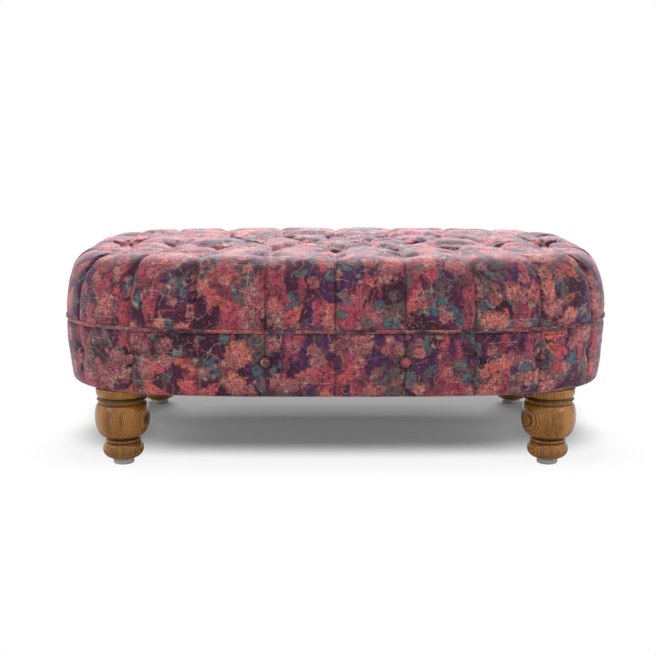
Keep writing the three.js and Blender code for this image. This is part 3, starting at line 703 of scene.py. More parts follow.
def fullness(across, first_power=PUFF_POWER, second_power=PUFF_POWER):
    """0 at a crease and 1 at the crest. Each half has its own fullness, for a folded pleat."""
    power = np.where(across < 0.5, first_power, second_power)
    return np.sqrt(np.maximum(0, 1 - np.abs(2 * across - 1) ** power))


def fullness_from(distance, reach):
    """0 at no distance, and full from the reach on."""
    return fullness(np.clip(distance / reach, 0, 1) / 2)


def from_pleat(across):
    """Distance from the nearest pleat, along the outline."""
    return np.minimum(across, 1 - across) * PERIMETER / PLEATS


def stitched_line(sizes, across):
    """1 along the folded line of a pleat, and 0 a few millimetres from it."""
    return bell(from_pleat(across), sizes.stitch_width)


def blend_edges(*edges):
    weights = [1 / np.maximum(distance, 1e-6) for distance, _ in edges]
    return sum(weight * depth for weight, (_, depth) in zip(weights, edges)) / sum(weights)


def spread(count):
    """Steps from 0 to 1 that crowd towards both ends, where the creases are."""
    steps = np.linspace(0, 1, count + 1)
    return 0.35 * steps + 0.65 * (1 - np.cos(math.pi * steps)) / 2


class Top:
    """The tufted top: its buttons, crests and panels."""

    def __init__(self, sizes):
        self.sizes = sizes
        self.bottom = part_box("seat_cover")[0].z
        self.rim = CROWN_TOP - sizes.crown_rise
        self.buttons = np.array([np.array(middle(node))[:2] for node in TOP_BUTTONS])

    def found(self, numbers):
        return [self.buttons[number - 1] for number in numbers]

    def crest(self, plan):
        halves = HALVES - self.sizes.shoulder
        reach = np.sum(np.abs(plan / halves) ** PLAN_POWER, -1) ** (2 / PLAN_POWER)
        return self.rim + self.sizes.crown_rise * (1 - np.minimum(1, reach))

    def crease(self, along):
        shallow, deep = self.sizes.crease_depth, self.sizes.button_depth
        return shallow + (deep - shallow) * np.abs(2 * along - 1) ** CREASE_POWER

    def inner_edge(self, corners, across):
        if len(corners) == 1:
            plan = np.broadcast_to(corners[0], (*across.shape, 2))
            return plan, np.full(across.shape, self.sizes.button_depth)
        spans = len(corners) - 1
        span = np.minimum(spans - 1, np.floor(across * spans + 1e-9)).astype(int)
        part = across * spans - span
        corners = np.array(corners)
        plan = corners[span] + (corners[span + 1] - corners[span]) * part[..., None]
        return plan, self.crease(part)

    def rim_panel(self, pleat, corners, across, side, top):
        """Points of a panel from the seam, over the shoulder, to the buttons."""
        sizes = self.sizes
        across, side, top = np.broadcast_arrays(across[None], side[:, None], top[:, None])
        points, normals = outline((pleat + across) / PLEATS)
        turn = side * math.pi / 2
        power = 2 / sizes.shoulder_power
        rise = (self.rim - self.bottom) * np.sin(turn) ** power
        run = sizes.shoulder + sizes.front_roll * normals[..., 1] ** 2
        shoulder = points - normals * (run * (1 - np.abs(np.cos(turn)) ** power))[..., None]
        inner, inner_depth = self.inner_edge(corners, across)
        span = np.linalg.norm(shoulder - inner, axis=-1)
        bend = shoulder - normals * (span * BEND)[..., None]
        t = top[..., None]
        plan = (1 - t) ** 2 * shoulder + 2 * t * (1 - t) * bend + t ** 2 * inner
        crown = (self.crest(plan) - self.rim) * np.minimum(1, top / CROWN_SHARE)
        rim_pull = sizes.seam_tuck + (sizes.rim_pleat - sizes.seam_tuck) * side
        pull = rim_pull + (sizes.button_depth - sizes.rim_pleat) * top ** PULL_POWER
        power = SIDE_POWER + (PUFF_POWER - SIDE_POWER) * smooth(0.1, 0.75, top)
        depth = blend_edges(
            (across, pull), (1 - across, pull), (side + top, sizes.seam_tuck), (2 - side - top, inner_depth)
        )
        from_seam = rise + top * span
        from_inner = (1 - top) * span + (1 - side) * self.rim
        swell = fullness_from(from_seam, sizes.seam_roll) * fullness_from(from_inner, sizes.puff_reach)
        # The stitched line sinks the cloth, and is also stored as painted shade along the crease
        line = stitched_line(sizes, across) * smooth(0.0, 0.12, side) * (1 - smooth(0.15, 0.6, top))
        sunk = depth * (1 - fullness(across, power, power) * swell) + sizes.stitch_depth * line
        plan = plan - normals * (np.cos(turn) * sunk)[..., None]
        height = self.bottom + rise + crown - np.sin(turn) * sunk
        return np.concatenate([plan, height[..., None]], -1), line

    def diamond(self, corners, steps):
        """Points of a puff between four buttons: front, outer, rear and inner."""
        front, outer, rear, inner = corners
        across, along = np.broadcast_arrays(steps[None], steps[:, None])
        near = front + (outer - front) * across[..., None]
        far = inner + (rear - inner) * across[..., None]
        plan = near + (far - near) * along[..., None]
        side, end = self.crease(along), self.crease(across)
        depth = blend_edges((across, side), (1 - across, side), (along, end), (1 - along, end))
        height = self.crest(plan) - depth * (1 - fullness(across) * fullness(along))
        return np.concatenate([plan, height[..., None]], -1)

    def diamonds(self):
        """The corners of the closed puffs."""
        flip, left = np.array([1.0, -1.0]), np.array([-1.0, 1.0])
        front, outer = self.found(MIDDLE_PUFF)
        puffs = [(front, outer, front * flip, outer * left)]
        for numbers in SIDE_PUFFS:
            front, outer, inner = self.found(numbers)
            corners = np.array([front, outer, front * flip, inner])
            puffs += [corners, corners * left]
        return puffs

    def pocket_rows(self, pleat, across):
        """The inside of the cover, from the middle of its pocket down and out to the seam."""
        inset, run = self.sizes.foam_inset, self.sizes.foam_run
        rim = FOAM_TOP - self.sizes.foam_crown
        shoulder = rim - self.sizes.foam_drop
        shares = (pleat + across) / PLEATS
        levels = (0, FOAM_TOP, 0), (inset + run, rim), (inset, shoulder), (inset, self.bottom)
        return np.array([ring(shares, *level) for level in levels])


# Cloth that each pleat folds away
TOP_FOLD = 0.03
BORDER_FOLD = 0.02


def panel_places(points, pleat, across, start, fold):
    """Places on the flat cloth of a panel. Each pleat folds away more cloth where the panel narrows."""
    width = PERIMETER / PLEATS
    seen = np.linalg.norm(points[:, -1] - points[:, 0], axis=-1)[:, None]
    up = run_along(points)
    along = pleat * (width + fold) + width / 2 + (across - 0.5) * seen
    return np.stack([along, up - up[start]], -1)


def slack(grid, start=0):
    """0 where the cloth of a grid hangs free, and 1 along its edges and up to its start."""
    held = np.ones(grid.shape[:2])
    held[start + 1:-1, 1:-1] = 0
    return held


STEPS = 22
SIDE_STEPS = 20
TOP_STEPS = 30
# Panels of cloth from the start of one quarter to the start of the next
QUARTER_STRIDE = 7
PUFF_STRETCH = 1.15
PUFF_PLACE = (4.0, 2.0)


def build_top(sizes):
    top = Top(sizes)
    shell = Shell()
    side = np.concatenate([1 - np.cos(np.linspace(0, math.pi / 2, SIDE_STEPS + 1)), np.ones(TOP_STEPS)])
    over = np.concatenate([np.zeros(SIDE_STEPS), np.sin(np.linspace(0, math.pi / 2, TOP_STEPS + 1))])
    steps = spread(STEPS)
    for place, quarter in enumerate(QUARTERS):
        for pleat, numbers in enumerate(RIM_PANELS):
            corners = top.found(numbers)
            spans = max(1, len(numbers) - 1)
            across = np.concatenate([(span + steps[:-1]) / spans for span in range(spans)] + [[1]])
            outer, line = top.rim_panel(pleat, corners, across, side, over)
            inner = top.pocket_rows(pleat, across)
            points = np.concatenate([inner, outer])
            # The stitched lines of the panels darken the colour as painted crease shade
            folds = np.concatenate([np.zeros(inner.shape[:2]), line])
            places = panel_places(points, pleat + QUARTER_STRIDE * place, across, len(inner), TOP_FOLD)
            mirrored = points * np.array([*quarter, 1.0])
            shell.add(mirrored, places, quarter[0] != quarter[1], folds, slack(points, len(inner)))
    for corners in top.diamonds():
        points = top.diamond(corners, steps)
        shell.add(points, points[..., :2] * PUFF_STRETCH + PUFF_PLACE, held=slack(points))
    piece = shell.build("tufted_top")
    soften_top(piece, top)
    settle(piece, sizes.settle_limit)
    return piece


SETTLE_FRAMES = 12
# Share of the most a point may move by which the free cloth is drawn back in, since pressure swells it
DRAWN_IN = 0.65
# Share of the settling that the sides take, and the heights over the seam where it rises to the whole
SIDE_SHARE = 0.1
LOOSE_FROM, LOOSE_TO = 0.07, 0.125
CLOTH = {
    "quality": 4,
    "mass": 0.15,
    "tension_stiffness": 20,
    "compression_stiffness": 20,
    "shear_stiffness": 4,
    "bending_stiffness": 0.25,
    "air_damping": 4,
    "shrink_min": -0.035,
    "use_pressure": True,
    "uniform_pressure_force": 0.8,
    "vertex_group_mass": HELD,
}


def settle(piece, limit):
    """Lets the slack of the cloth fall into creases between its seams and buttons, by simulation."""
    held = np.empty(len(piece.data.vertices))
    piece.data.attributes[HELD].data.foreach_get("value", held)
    pins = piece.vertex_groups.new(name=HELD)
    pins.add(np.nonzero(held > 0.5)[0].tolist(), 1.0, "REPLACE")
    modifier = piece.modifiers.new("settle", "CLOTH")
    for name, value in CLOTH.items():
        setattr(modifier.settings, name, value)
    modifier.settings.effector_weights.gravity = 0
    modifier.collision_settings.use_collision = False
    modifier.point_cache.frame_start = 1
    modifier.point_cache.frame_end = SETTLE_FRAMES
    scene = bpy.context.scene
    for frame_number in range(1, SETTLE_FRAMES + 1):
        scene.frame_set(frame_number)
    moved = read(piece.evaluated_get(bpy.context.evaluated_depsgraph_get()))
    piece.modifiers.remove(modifier)
    piece.vertex_groups.remove(pins)
    scene.frame_set(1)
    start = read(piece)
    if not np.isfinite(moved).all() or len(moved) != len(start):
        raise RuntimeError("the cloth of the top didn't settle")
    steps = moved - start
    steps *= np.minimum(1, limit / np.maximum(np.linalg.norm(steps, axis=1, keepdims=True), 1e-9))
    steps -= read(piece, "normal") * np.where(held > 0.5, 0, DRAWN_IN * limit)[:, None]
    loose = SIDE_SHARE + (1 - SIDE_SHARE) * smooth(LOOSE_FROM, LOOSE_TO, start[:, 2] - SEAM_HEIGHT)
    write_points(piece, start + steps * loose[:, None])


def gathers(seed, counts, bearing, nearest, buttons):
    """Folds that run out from each button, from -1 to 1."""
    random = np.random.default_rng(seed)
    phases = [random.uniform(0, 2 * math.pi, buttons)[nearest] for _ in counts]
    return sum(np.cos(count * bearing + phase) for count, phase in zip(counts, phases)) / len(counts)


# Depth under the foam's top within which faces that look down are the pocket's
POCKET_REACH = 0.0455
# Heights of the folds gathered at a button and of the slow and quick unevenness of the cloth
GATHER = 0.0024
SLOW = 0.0011
QUICK = 0.0005


def soften_top(piece, top):
    """Beds the buttons, gathers the cloth round them and makes the puffs a little uneven."""
    radius = top.sizes.button_radius
    points, normals = read(piece), read(piece, "normal")
    outside = points[:, 2] > top.bottom + 0.001
    outside &= ~((np.abs(points[:, 2] - FOAM_TOP) < POCKET_REACH) & (normals[:, 2] < 0))
    gaps = points[:, None, :2] - top.buttons
    reach = np.linalg.norm(gaps, axis=-1)
    nearest, near = reach.argmin(1), reach.min(1)
    bearing = np.arctan2(*gaps[np.arange(len(points)), nearest].T[::-1])
    seat = top.crest(points[:, :2]) - top.sizes.button_depth
    bed = radius * 2.1
    lifted = seat + (points[:, 2] - seat) * smooth(radius * 0.8, bed, near)
    points[:, 2] = np.where(outside & (near < bed), lifted, points[:, 2])
    gather = gathers(11, (7, 11, 16), bearing, nearest, len(top.buttons))
    fade = smooth(radius, radius * 1.6, near) * bell(near, 0.038)
    uneven = SLOW * ripple(points, 3, 0.09) + QUICK * ripple(points, 4, 0.03)
    moved = GATHER * gather * fade + uneven * smooth(0.0, 0.02, points[:, 2] - top.bottom)
    write_points(piece, points + normals * np.where(outside, moved, 0)[:, None])


# Border

BUTTON_LEVEL = 0.068
# Height over the underside, inset and share of the pleats' depth
BORDER_LEVELS = (
    (0, 0.014, 0.2),
    (0.0035, 0.00905, 0.3),
    (0.012, 0.007, 0.5),
    (BUTTON_LEVEL, 0.0015, 1.0),
    (0.1118, 0.0, 0.6),
)
BORDER_STEPS = 20
BORDER_ROWS = 34
BORDER_PLACE = (0, 1.3)
# Count that keeps the border's cloth clear of the top's on their shared map
BORDER_START = 40
BAND_THICKNESS = 0.0022
# Fullness of the two halves of a panel, folded over at its pleat
BORDER_POWERS = (6.0, 2.4)
# Depth and reach of the dimple at a button, and width of the ring of painted shade round it
DIMPLE, DIMPLE_REACH = 0.0055, 0.017
SHADE_RING_WIDTH = 0.004
BORDER_GATHER = 0.0014
BORDER_UNEVEN = 0.0009
# Insets and heights of the hem under the frame, and of the band's inner face
HEM = ((0.048, BAND_THICKNESS), (0.048, 0), (0.035, 0))
BACK = ((0.019, BORDER_HEIGHT), (0.0225, 0.012), (0.0235, BAND_THICKNESS))


def border_profile(sizes, heights):
    """Inset of the border and its pleats' share of their full depth, at heights over the underside."""
    levels, insets, shares = np.array([*BORDER_LEVELS, (BORDER_HEIGHT, sizes.seam_tuck, 0.0)]).T
    return cubic(heights, levels, insets), np.interp(heights, levels, shares)


def cubic(at, xs, ys):
    """A smooth curve through points that doesn't overshoot them."""
    steps = np.diff(xs)
    slopes = np.diff(ys) / steps
    tangents = np.concatenate([[slopes[0]], np.zeros(len(xs) - 2), [slopes[-1]]])
    for index in range(1, len(xs) - 1):
        before, after = slopes[index - 1], slopes[index]
        tangents[index] = 0 if before * after <= 0 else 2 * before * after / (before + after)
    spot = np.clip(np.searchsorted(xs, at) - 1, 0, len(steps) - 1)
    h = steps[spot]
    t = np.clip((at - xs[spot]) / h, 0, 1)
    return (
        (2 * t ** 3 - 3 * t ** 2 + 1) * ys[spot] + (t ** 3 - 2 * t ** 2 + t) * h * tangents[spot]
        + (3 * t ** 2 - 2 * t ** 3) * ys[spot + 1] + (t ** 3 - t ** 2) * h * tangents[spot + 1]
    )


def build_border(sizes):
    """The pleated band: outer face, turned under the frame, and its inner face."""
    shell = Shell()
    heights = np.linspace(0, 1, BORDER_ROWS + 1) ** 1.25 * BORDER_HEIGHT
    levels = list(zip(heights, *border_profile(sizes, heights)))
    across = spread(BORDER_STEPS)
    line = stitched_line(sizes, across)
    plain = [np.zeros(len(across))]
    for pleat in range(PLEATS):
        shares = (pleat + across) / PLEATS
        rows = [ring(shares, inset, UNDERSIDE + height) for inset, height in HEM]
        folds = plain * len(HEM)
        for height, inset, depth in levels:
            folded = depth * sizes.border_pleat * (1 - fullness(across, *BORDER_POWERS))
            away = np.hypot(from_pleat(across), height - BUTTON_LEVEL)
            pulled = DIMPLE * bell(away, DIMPLE_REACH)
            sunk = inset + folded + pulled + sizes.stitch_depth * depth * line
            rows.append(ring(shares, sunk, UNDERSIDE + height))
            # Painted shade in a ring round each button and along the stitched lines of the pleats
            button_ring_shade = bell(away - sizes.border_button_radius, SHADE_RING_WIDTH)
            folds.append(np.maximum(line * min(1, 1.5 * depth), button_ring_shade))
        rows += [ring(shares, inset, UNDERSIDE + height) for inset, height in BACK]
        rows.append(rows[0])
        folds += plain * (len(BACK) + 1)
        points = np.array(rows)
        places = panel_places(points, pleat + BORDER_START, across, len(HEM), BORDER_FOLD) + BORDER_PLACE
        shell.add(points, places, folds=np.array(folds))
    piece = shell.build("pleated_border")
    soften_border(piece, sizes)
    return piece


def border_button_points(sizes):
    """Seat of each border button with its outward direction."""
    points, normals = outline(np.arange(PLEATS) / PLEATS)
    inset, _ = border_profile(sizes, np.array([BUTTON_LEVEL]))
    return points - normals * (inset[0] + sizes.border_pleat + 0.0005), normals, UNDERSIDE + BUTTON_LEVEL


def soften_border(piece, sizes):
    """Gathers the band round its buttons and makes it a little uneven."""
    points, normals = read(piece), read(piece, "normal")
    plan, level = points[:, :2], points[:, 2]
    centre = plan / np.maximum(np.linalg.norm(plan, axis=1, keepdims=True), 1e-6)
    outside = np.sum(normals[:, :2] * centre, axis=1) > 0.2
    spots, _, height = border_button_points(sizes)
    gaps = np.linalg.norm(plan[:, None] - spots, axis=-1)
    nearest = gaps.argmin(1)
    away = np.hypot(gaps.min(1), level - height)
    tangent = np.stack([-centre[:, 1], centre[:, 0]], 1)
    bearing = np.arctan2(level - height, np.sum((plan - spots[nearest]) * tangent, axis=1))
    gather = gathers(23, (5, 8, 13), bearing, nearest, len(spots))
    fade = smooth(0.006, 0.014, away) * bell(away, 0.028)
    inside = smooth(0, 0.02, level - UNDERSIDE) * smooth(0, 0.02, SEAM_HEIGHT - level)
    moved = (BORDER_GATHER * gather * fade + BORDER_UNEVEN * ripple(points, 8, 0.07)) * inside
    write_points(piece, points + normals * np.where(outside, moved, 0)[:, None])


# Buttons and feet

def quarter_turn(steps):
    return np.linspace(0, math.pi / 2, steps + 1)


# Rise of the dome and height of the rim of the buttons, and how far a top button's crown is over its seat
TOP_DOME = (0.0055, 0.002)
BORDER_DOME = (0.0058, 0.0018)
TOP_BUTTON_HEIGHT = 0.0075
TUCK = 0.00022


def dome(radius, rise, rim):
    """Profile of a covered button, from under its rim to the top of its dome."""
    turns = quarter_turn(10)
    profile = [(0.0, 0.0), (radius * 0.86, 0.0), (radius * 0.97, rim * 0.25)]
    return profile + list(zip(radius * np.cos(turns), rim + rise * np.sin(turns)))


def covered_button(name, radius, rise, rim, seed, place):
    """A covered button with the cloth drawn tight over it. The place puts it on its seat."""
    offset = np.array([seed * 0.137 % 3.0 + 2.0, seed * 0.211 % 3.0 + 1.0])
    piece = turned(name, dome(radius, rise, rim), (0, 0), 40, offset)
    points = read(piece)
    bearing = np.arctan2(points[:, 1], points[:, 0])
    reach = np.linalg.norm(points[:, :2], axis=1) / radius
    tucks = TUCK * np.cos(18 * bearing + seed) * smooth(0.75, 1.0, reach)
    points[:, :2] *= (1 + tucks / radius)[:, None]
    write_points(piece, points)
    piece.data.transform(place)
    return piece


def swelling(start, widest, end, steps=14):
    """A turned swelling: a quarter ellipse out to the widest place and another one back in."""
    turns = quarter_turn(steps)
    out, up = np.sin(turns), np.cos(turns)
    below = zip(start[0] + (widest[0] - start[0]) * out, widest[1] - (widest[1] - start[1]) * up)
    above = zip(end[0] + (widest[0] - end[0]) * up[1:], widest[1] + (end[1] - widest[1]) * out[1:])
    return [*below, *above]


def bead(neck, radius, bottom, top, steps=8):
    """A half-round bead between two necks."""
    turns = np.linspace(0, math.pi, steps + 1)
    heights = (bottom + top) / 2 - (top - bottom) / 2 * np.cos(turns)
    return list(zip(neck + (radius - neck) * np.maximum(np.sin(turns), 0) ** 0.6, heights))


BALL_HEIGHT = 0.0335
BUN_HEIGHT = 0.068


def leg_profile():
    """Profile of a foot from the centre of its toe up to the top of its cap."""
    bottom, top = (corner.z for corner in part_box("leg_front_left"))
    heights = np.cumsum([BALL_HEIGHT, 0.007, 0.004, BUN_HEIGHT, 0.007, 0.002, 0.0045]) + bottom
    ball_top, bead_top, bun_bottom, bun_top, upper_bead, lip_top, cap_bottom = heights
    cove = quarter_turn(8)[1:]
    return [
        (0.0, bottom),
        *swelling((0.019, bottom), (0.04, bottom + 0.52 * BALL_HEIGHT), (0.031, ball_top)),
        *bead(0.0308, 0.035, ball_top, bead_top),
        (0.0308, bead_top + 0.0006), (0.0312, bun_bottom - 0.0006),
        *swelling((0.0325, bun_bottom), (0.054, bun_bottom + 0.58 * BUN_HEIGHT), (0.045, bun_top)),
        *bead(0.0442, 0.0465, bun_top, upper_bead),
        (0.0468, upper_bead + 0.0002), (0.049, upper_bead + 0.0009), (0.0489, lip_top - 0.0003),
        (0.0482, lip_top), (0.044, lip_top + 0.0005), (0.0435, cap_bottom),
        *zip(0.0435 + 0.007 * np.sin(cove), cap_bottom + 0.009 * (1 - np.cos(cove))),
        (0.0505, top - 0.001), (0.0495, top), (0.0, top),
    ]


GLIDE_PROFILE = (
    (0, 0), (0.018, 0), (0.0196, 0.0007), (0.0205, 0.0025), (0.0205, 0.0085), (0.0198, 0.0105),
    (0.0188, 0.0115), (0, 0.0115),
)
GROOVE_REACH = 0.007
GROOVE_DEPTH = 0.0035


def groove_depth(radii, heights):
    """How far each point of a profile lies inside its neighbours, from 0 to 1."""
    deep = np.zeros(len(radii))
    for index, (radius, height) in enumerate(zip(radii, heights)):
        below = radii[(heights < height) & (heights > height - GROOVE_REACH)]
        above = radii[(heights > height) & (heights < height + GROOVE_REACH)]
        if len(below) and len(above):
            deep[index] = np.clip((min(below.max(), above.max()) - radius) / GROOVE_DEPTH, 0, 1)
    return deep


# How far from the log's heart a foot is turned, how far apart along it, and its lean
LOG_REACH = 0.1
LOG_STEP = 0.37
LOG_LEAN = 0.06


def mark_wood(leg, points, centre, turn, index):
    """Stores each point's place in the log that the foot was turned from."""
    bearing = math.radians(-20 if centre.x < 0 else -160) + turn * 0.3
    if centre.y > 0:
        bearing += math.pi
    local = points - np.array([centre.x, centre.y, 0])
    heart = LOG_REACH * math.cos(bearing), LOG_REACH * math.sin(bearing), LOG_STEP * index
    placed = local + np.array(heart)
    placed[:, 0] += LOG_LEAN * (index % 2 * 2 - 1) * local[:, 2]
    store(leg.data, GRAIN, placed)


# Piping

CORD_STEPS = 960
# Height of the ridges that the twist of the cord shows through its cover, and their count
CORD_RIDGE = 0.00022
CORD_TWISTS = 300
CORD_PLACE = (6.0, 5.0)


def build_piping(sizes):
    shares = np.linspace(0, 1, CORD_STEPS + 1)
    turns = np.linspace(0, 2 * math.pi, 15)
    axis_inset = sizes.piping_radius - PIPING_PROUD
    rows = []
    for turn in turns:
        radius = sizes.piping_radius + CORD_RIDGE * np.sin(2 * math.pi * shares * CORD_TWISTS + 2 * turn)
        row = ring(shares, axis_inset - radius * math.cos(turn), SEAM_HEIGHT)
        row[:, 2] += radius * math.sin(turn)
        rows.append(row)
    along, around = np.broadcast_arrays(shares * PERIMETER, turns[:, None] * sizes.piping_radius)
    # The strip is cut on the cross, so its print lies slanted
    slanted = np.stack([along + around, around - along], -1) * 0.7 + CORD_PLACE
    return from_grid("covered_piping", np.array(rows), slanted)


# Gap between the dust cloth and the underside of its solid
DUST_CLEARANCE = 0.0004


# Operators

class MakeTop(bpy.types.Operator):
    """Make the tufted top over the foam"""

    bl_idname = "tuffet.make_top"
    bl_label = "Tufted top"

    def execute(self, context):
        sizes, colours = context.scene.tuffet_sizes, context.scene.tuffet_colours
        piece = finish_piece(build_top(sizes), cloth_material(colours), "fabric", "seat_cover")
        return {"FINISHED"}


class MakeTopButtons(bpy.types.Operator):
    """Make the covered buttons of the top"""

    bl_idname = "tuffet.make_top_buttons"
    bl_label = "Top buttons"

    def execute(self, context):
        sizes, colours = context.scene.tuffet_sizes, context.scene.tuffet_colours
        for seed, node in enumerate(TOP_BUTTONS):
            centre = middle(node)
            place = Matrix.Translation((centre.x, centre.y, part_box(node)[1].z - TOP_BUTTON_HEIGHT))
            piece = covered_button(f"covered_{node}", sizes.button_radius, *TOP_DOME, seed, place)
            finish_piece(piece, cloth_material(colours), "fabric", node)
        return {"FINISHED"}


class MakeBorder(bpy.types.Operator):
    """Make the pleated border with its covered buttons"""

    bl_idname = "tuffet.make_border"
    bl_label = "Border"

    def execute(self, context):
        sizes, colours = context.scene.tuffet_sizes, context.scene.tuffet_colours
        material = cloth_material(colours)
        piece = finish_piece(build_border(sizes), material, "fabric", "border_cover")
        points, normals, height = border_button_points(sizes)
        for index, (point, normal) in enumerate(zip(points, normals)):
            facing = Vector((*normal, 0)).to_track_quat("Z", "Y").to_matrix().to_4x4()
            place = Matrix.Translation((*point, height)) @ facing
            name = f"border_button_{index + 1:02d}"
            button = covered_button(name, sizes.border_button_radius, *BORDER_DOME, index + 50, place)
            finish_piece(button, material, "fabric")
        return {"FINISHED"}


class MakePiping(bpy.types.Operator):
    """Make the covered cord in the seam"""

    bl_idname = "tuffet.make_piping"
    bl_label = "Piping"

    def execute(self, context):
        sizes, colours = context.scene.tuffet_sizes, context.scene.tuffet_colours
        finish_piece(build_piping(sizes), cloth_material(colours), "fabric", "seam_piping")
        return {"FINISHED"}


class MakeFeet(bpy.types.Operator):
    """Make the turned feet and the glides under them"""

    bl_idname = "tuffet.make_feet"
    bl_label = "Feet"

    def execute(self, context):
        colours = context.scene.tuffet_colours
        oak = turned_wood_material(colours)
        bright = tuple(part * 1.5 for part in colours.glide)
        zinc = raw_material("grey_glide", colours.glide, bright, 300.0, 0.5)
        random = np.random.default_rng(5)
        profile = leg_profile()
        radii, levels = np.array(profile).T
        deep = groove_depth(radii, levels)
        order = np.argsort(levels, kind="stable")
        for index, place in enumerate(FEET):
            centre = middle(f"leg_{place}")
            leg = turned(f"turned_foot_{place}", profile, centre, 96)
            points = read(leg)
            mark_wood(leg, points, centre, random.uniform(-0.5, 0.5), index)
            outer = np.linalg.norm(points[:, :2] - np.array(centre)[:2], axis=1) > 0.015
            # How deep each point lies in a groove, by which the oak darkens as painted shade
            store(leg.data, GROOVE, np.interp(points[:, 2], levels[order], deep[order]) * outer)
            finish_piece(leg, oak, "oak", f"leg_{place}")
            glide = turned(f"round_glide_{place}", GLIDE_PROFILE, centre, 64)
            finish_piece(glide, zinc, "glide", f"glide_{place}")
        return {"FINISHED"}


class MakeDustCover(bpy.types.Operator):
    """Make the dust cloth stapled under the frame"""

    bl_idname = "tuffet.make_dust_cover"
    bl_label = "Dust cloth"

    def execute(self, context):
        colours = context.scene.tuffet_colours
        low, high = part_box("dust_cover")
        inset, height = HALF_LENGTH - high.x, low.z + DUST_CLEARANCE
        shares = np.linspace(0, 1, 241)
        grid = np.array([ring(shares, inset, height, out) for out in np.linspace(1, 0, 60)])
        piece = from_grid("dust_cloth", grid, grid[..., :2])
        bright = tuple(part * 2 for part in colours.cambric)
        black = raw_material("black_dust_cloth", colours.cambric, bright, 700.0, 0.88)
        finish_piece(piece, black, "cambric", "dust_cover")
        return {"FINISHED"}


def foam_levels(sizes):
    """Rings of the foam block, from the middle of its underside round to the middle of its crown."""
    low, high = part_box("seat_foam")
    inset = sizes.foam_inset
    rim = high.z - sizes.foam_crown
    levels = [(inset, low.z, 0), (inset, low.z, 0.5), (inset, low.z, 1)]
    for turn in quarter_turn(8):
        run = inset + sizes.foam_run * (1 - math.cos(turn))
        levels.append((run, rim - sizes.foam_drop * (1 - math.sin(turn)), 1))
    for out in (0.8, 0.6, 0.4, 0.2, 0):
        levels.append((inset + sizes.foam_run, rim + sizes.foam_crown * (1 - out ** 2), out))
    return levels


def wadding_levels(sizes):
    """Rings of the wadding, which fills the band behind its pleats and buttons."""
    low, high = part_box("border_padding")
    heights = np.linspace(low.z, high.z, 18) - UNDERSIDE
    insets, pleats = border_profile(sizes, heights)
    outer = insets + pleats * (sizes.border_pleat + sizes.stitch_depth) + 0.003
    outer = np.minimum(outer + DIMPLE * bell(heights - BUTTON_LEVEL, 0.03), 0.0225)
    face = [(inset, UNDERSIDE + height, 1) for inset, height in zip(outer, heights)]
    back = (0.0237, low.z, 1)
    return [back, *face, (0.0237, high.z, 1), back]


class DressInside(bpy.types.Operator):
    """Make the foam and padding, and finish the pieces of the frame"""

    bl_idname = "tuffet.dress_inside"
    bl_label = "Inside"

    def execute(self, context):
        sizes = context.scene.tuffet_sizes
        foam = raw_material("cut_foam", (0.72, 0.62, 0.36), (0.8, 0.72, 0.48), 500.0, 0.9)
        sheets, grain = (0.15, 1, 4), (1, 1, 0.1)
        plywood = raw_material("birch_plywood", (0.6, 0.42, 0.24), (0.5, 0.32, 0.17), 40.0, 0.7, sheets)
        pine = raw_material("planed_pine", (0.62, 0.42, 0.22), (0.5, 0.31, 0.14), 60.0, 0.65, grain)
        fibre = raw_material("hardboard", (0.22, 0.13, 0.07), (0.28, 0.17, 0.1), 400.0, 0.75)
        steel = steel_material()
        finishes = {
            ("deck_board", "bottom_board"): plywood,
            ("frame_stud", "cross_rail"): pine,
            ("side_wrap",): fibre,
            ("hanger_bolt", "tee_nut"): steel,
        }
        for name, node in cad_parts.items():
            for starts, material in finishes.items():
                if name.startswith(starts):
                    node.data.materials.clear()
                    node.data.materials.append(material)
        block = from_levels("foam_block", foam_levels(sizes), 192, 0.004)
        finish_piece(block, foam, "foam", "seat_foam")
        wadding = from_levels("border_wadding", wadding_levels(sizes), 240)
        finish_piece(wadding, foam, "foam", "border_padding")
        return {"FINISHED"}


# Stage

FLOOR_REACH = 14.0
# Middle of the oval of the floor's painted shadow and white glow, and one over its half sizes
SHADOW_MIDDLE = 0.24
SHADOW_SCALES = (1 / 0.66, 1 / 0.47)
# Name, place, size and the setting for the power of each softbox
LAMPS = (
    ("key_softbox", (0.0, -1.9, 2.5), (1.8, 1.0), "key_power"),
    ("overhead_softbox", (0.0, 2.1, 1.85), (2.2, 0.9), "top_power"),
    ("left_softbox", (-1.9, -1.3, 1.3), (0.9, 0.8), "fill_power"),
    ("right_softbox", (1.9, -1.3, 1.3), (0.9, 0.8), "fill_power"),
)
AIM = Vector((0, 0, 0.25))


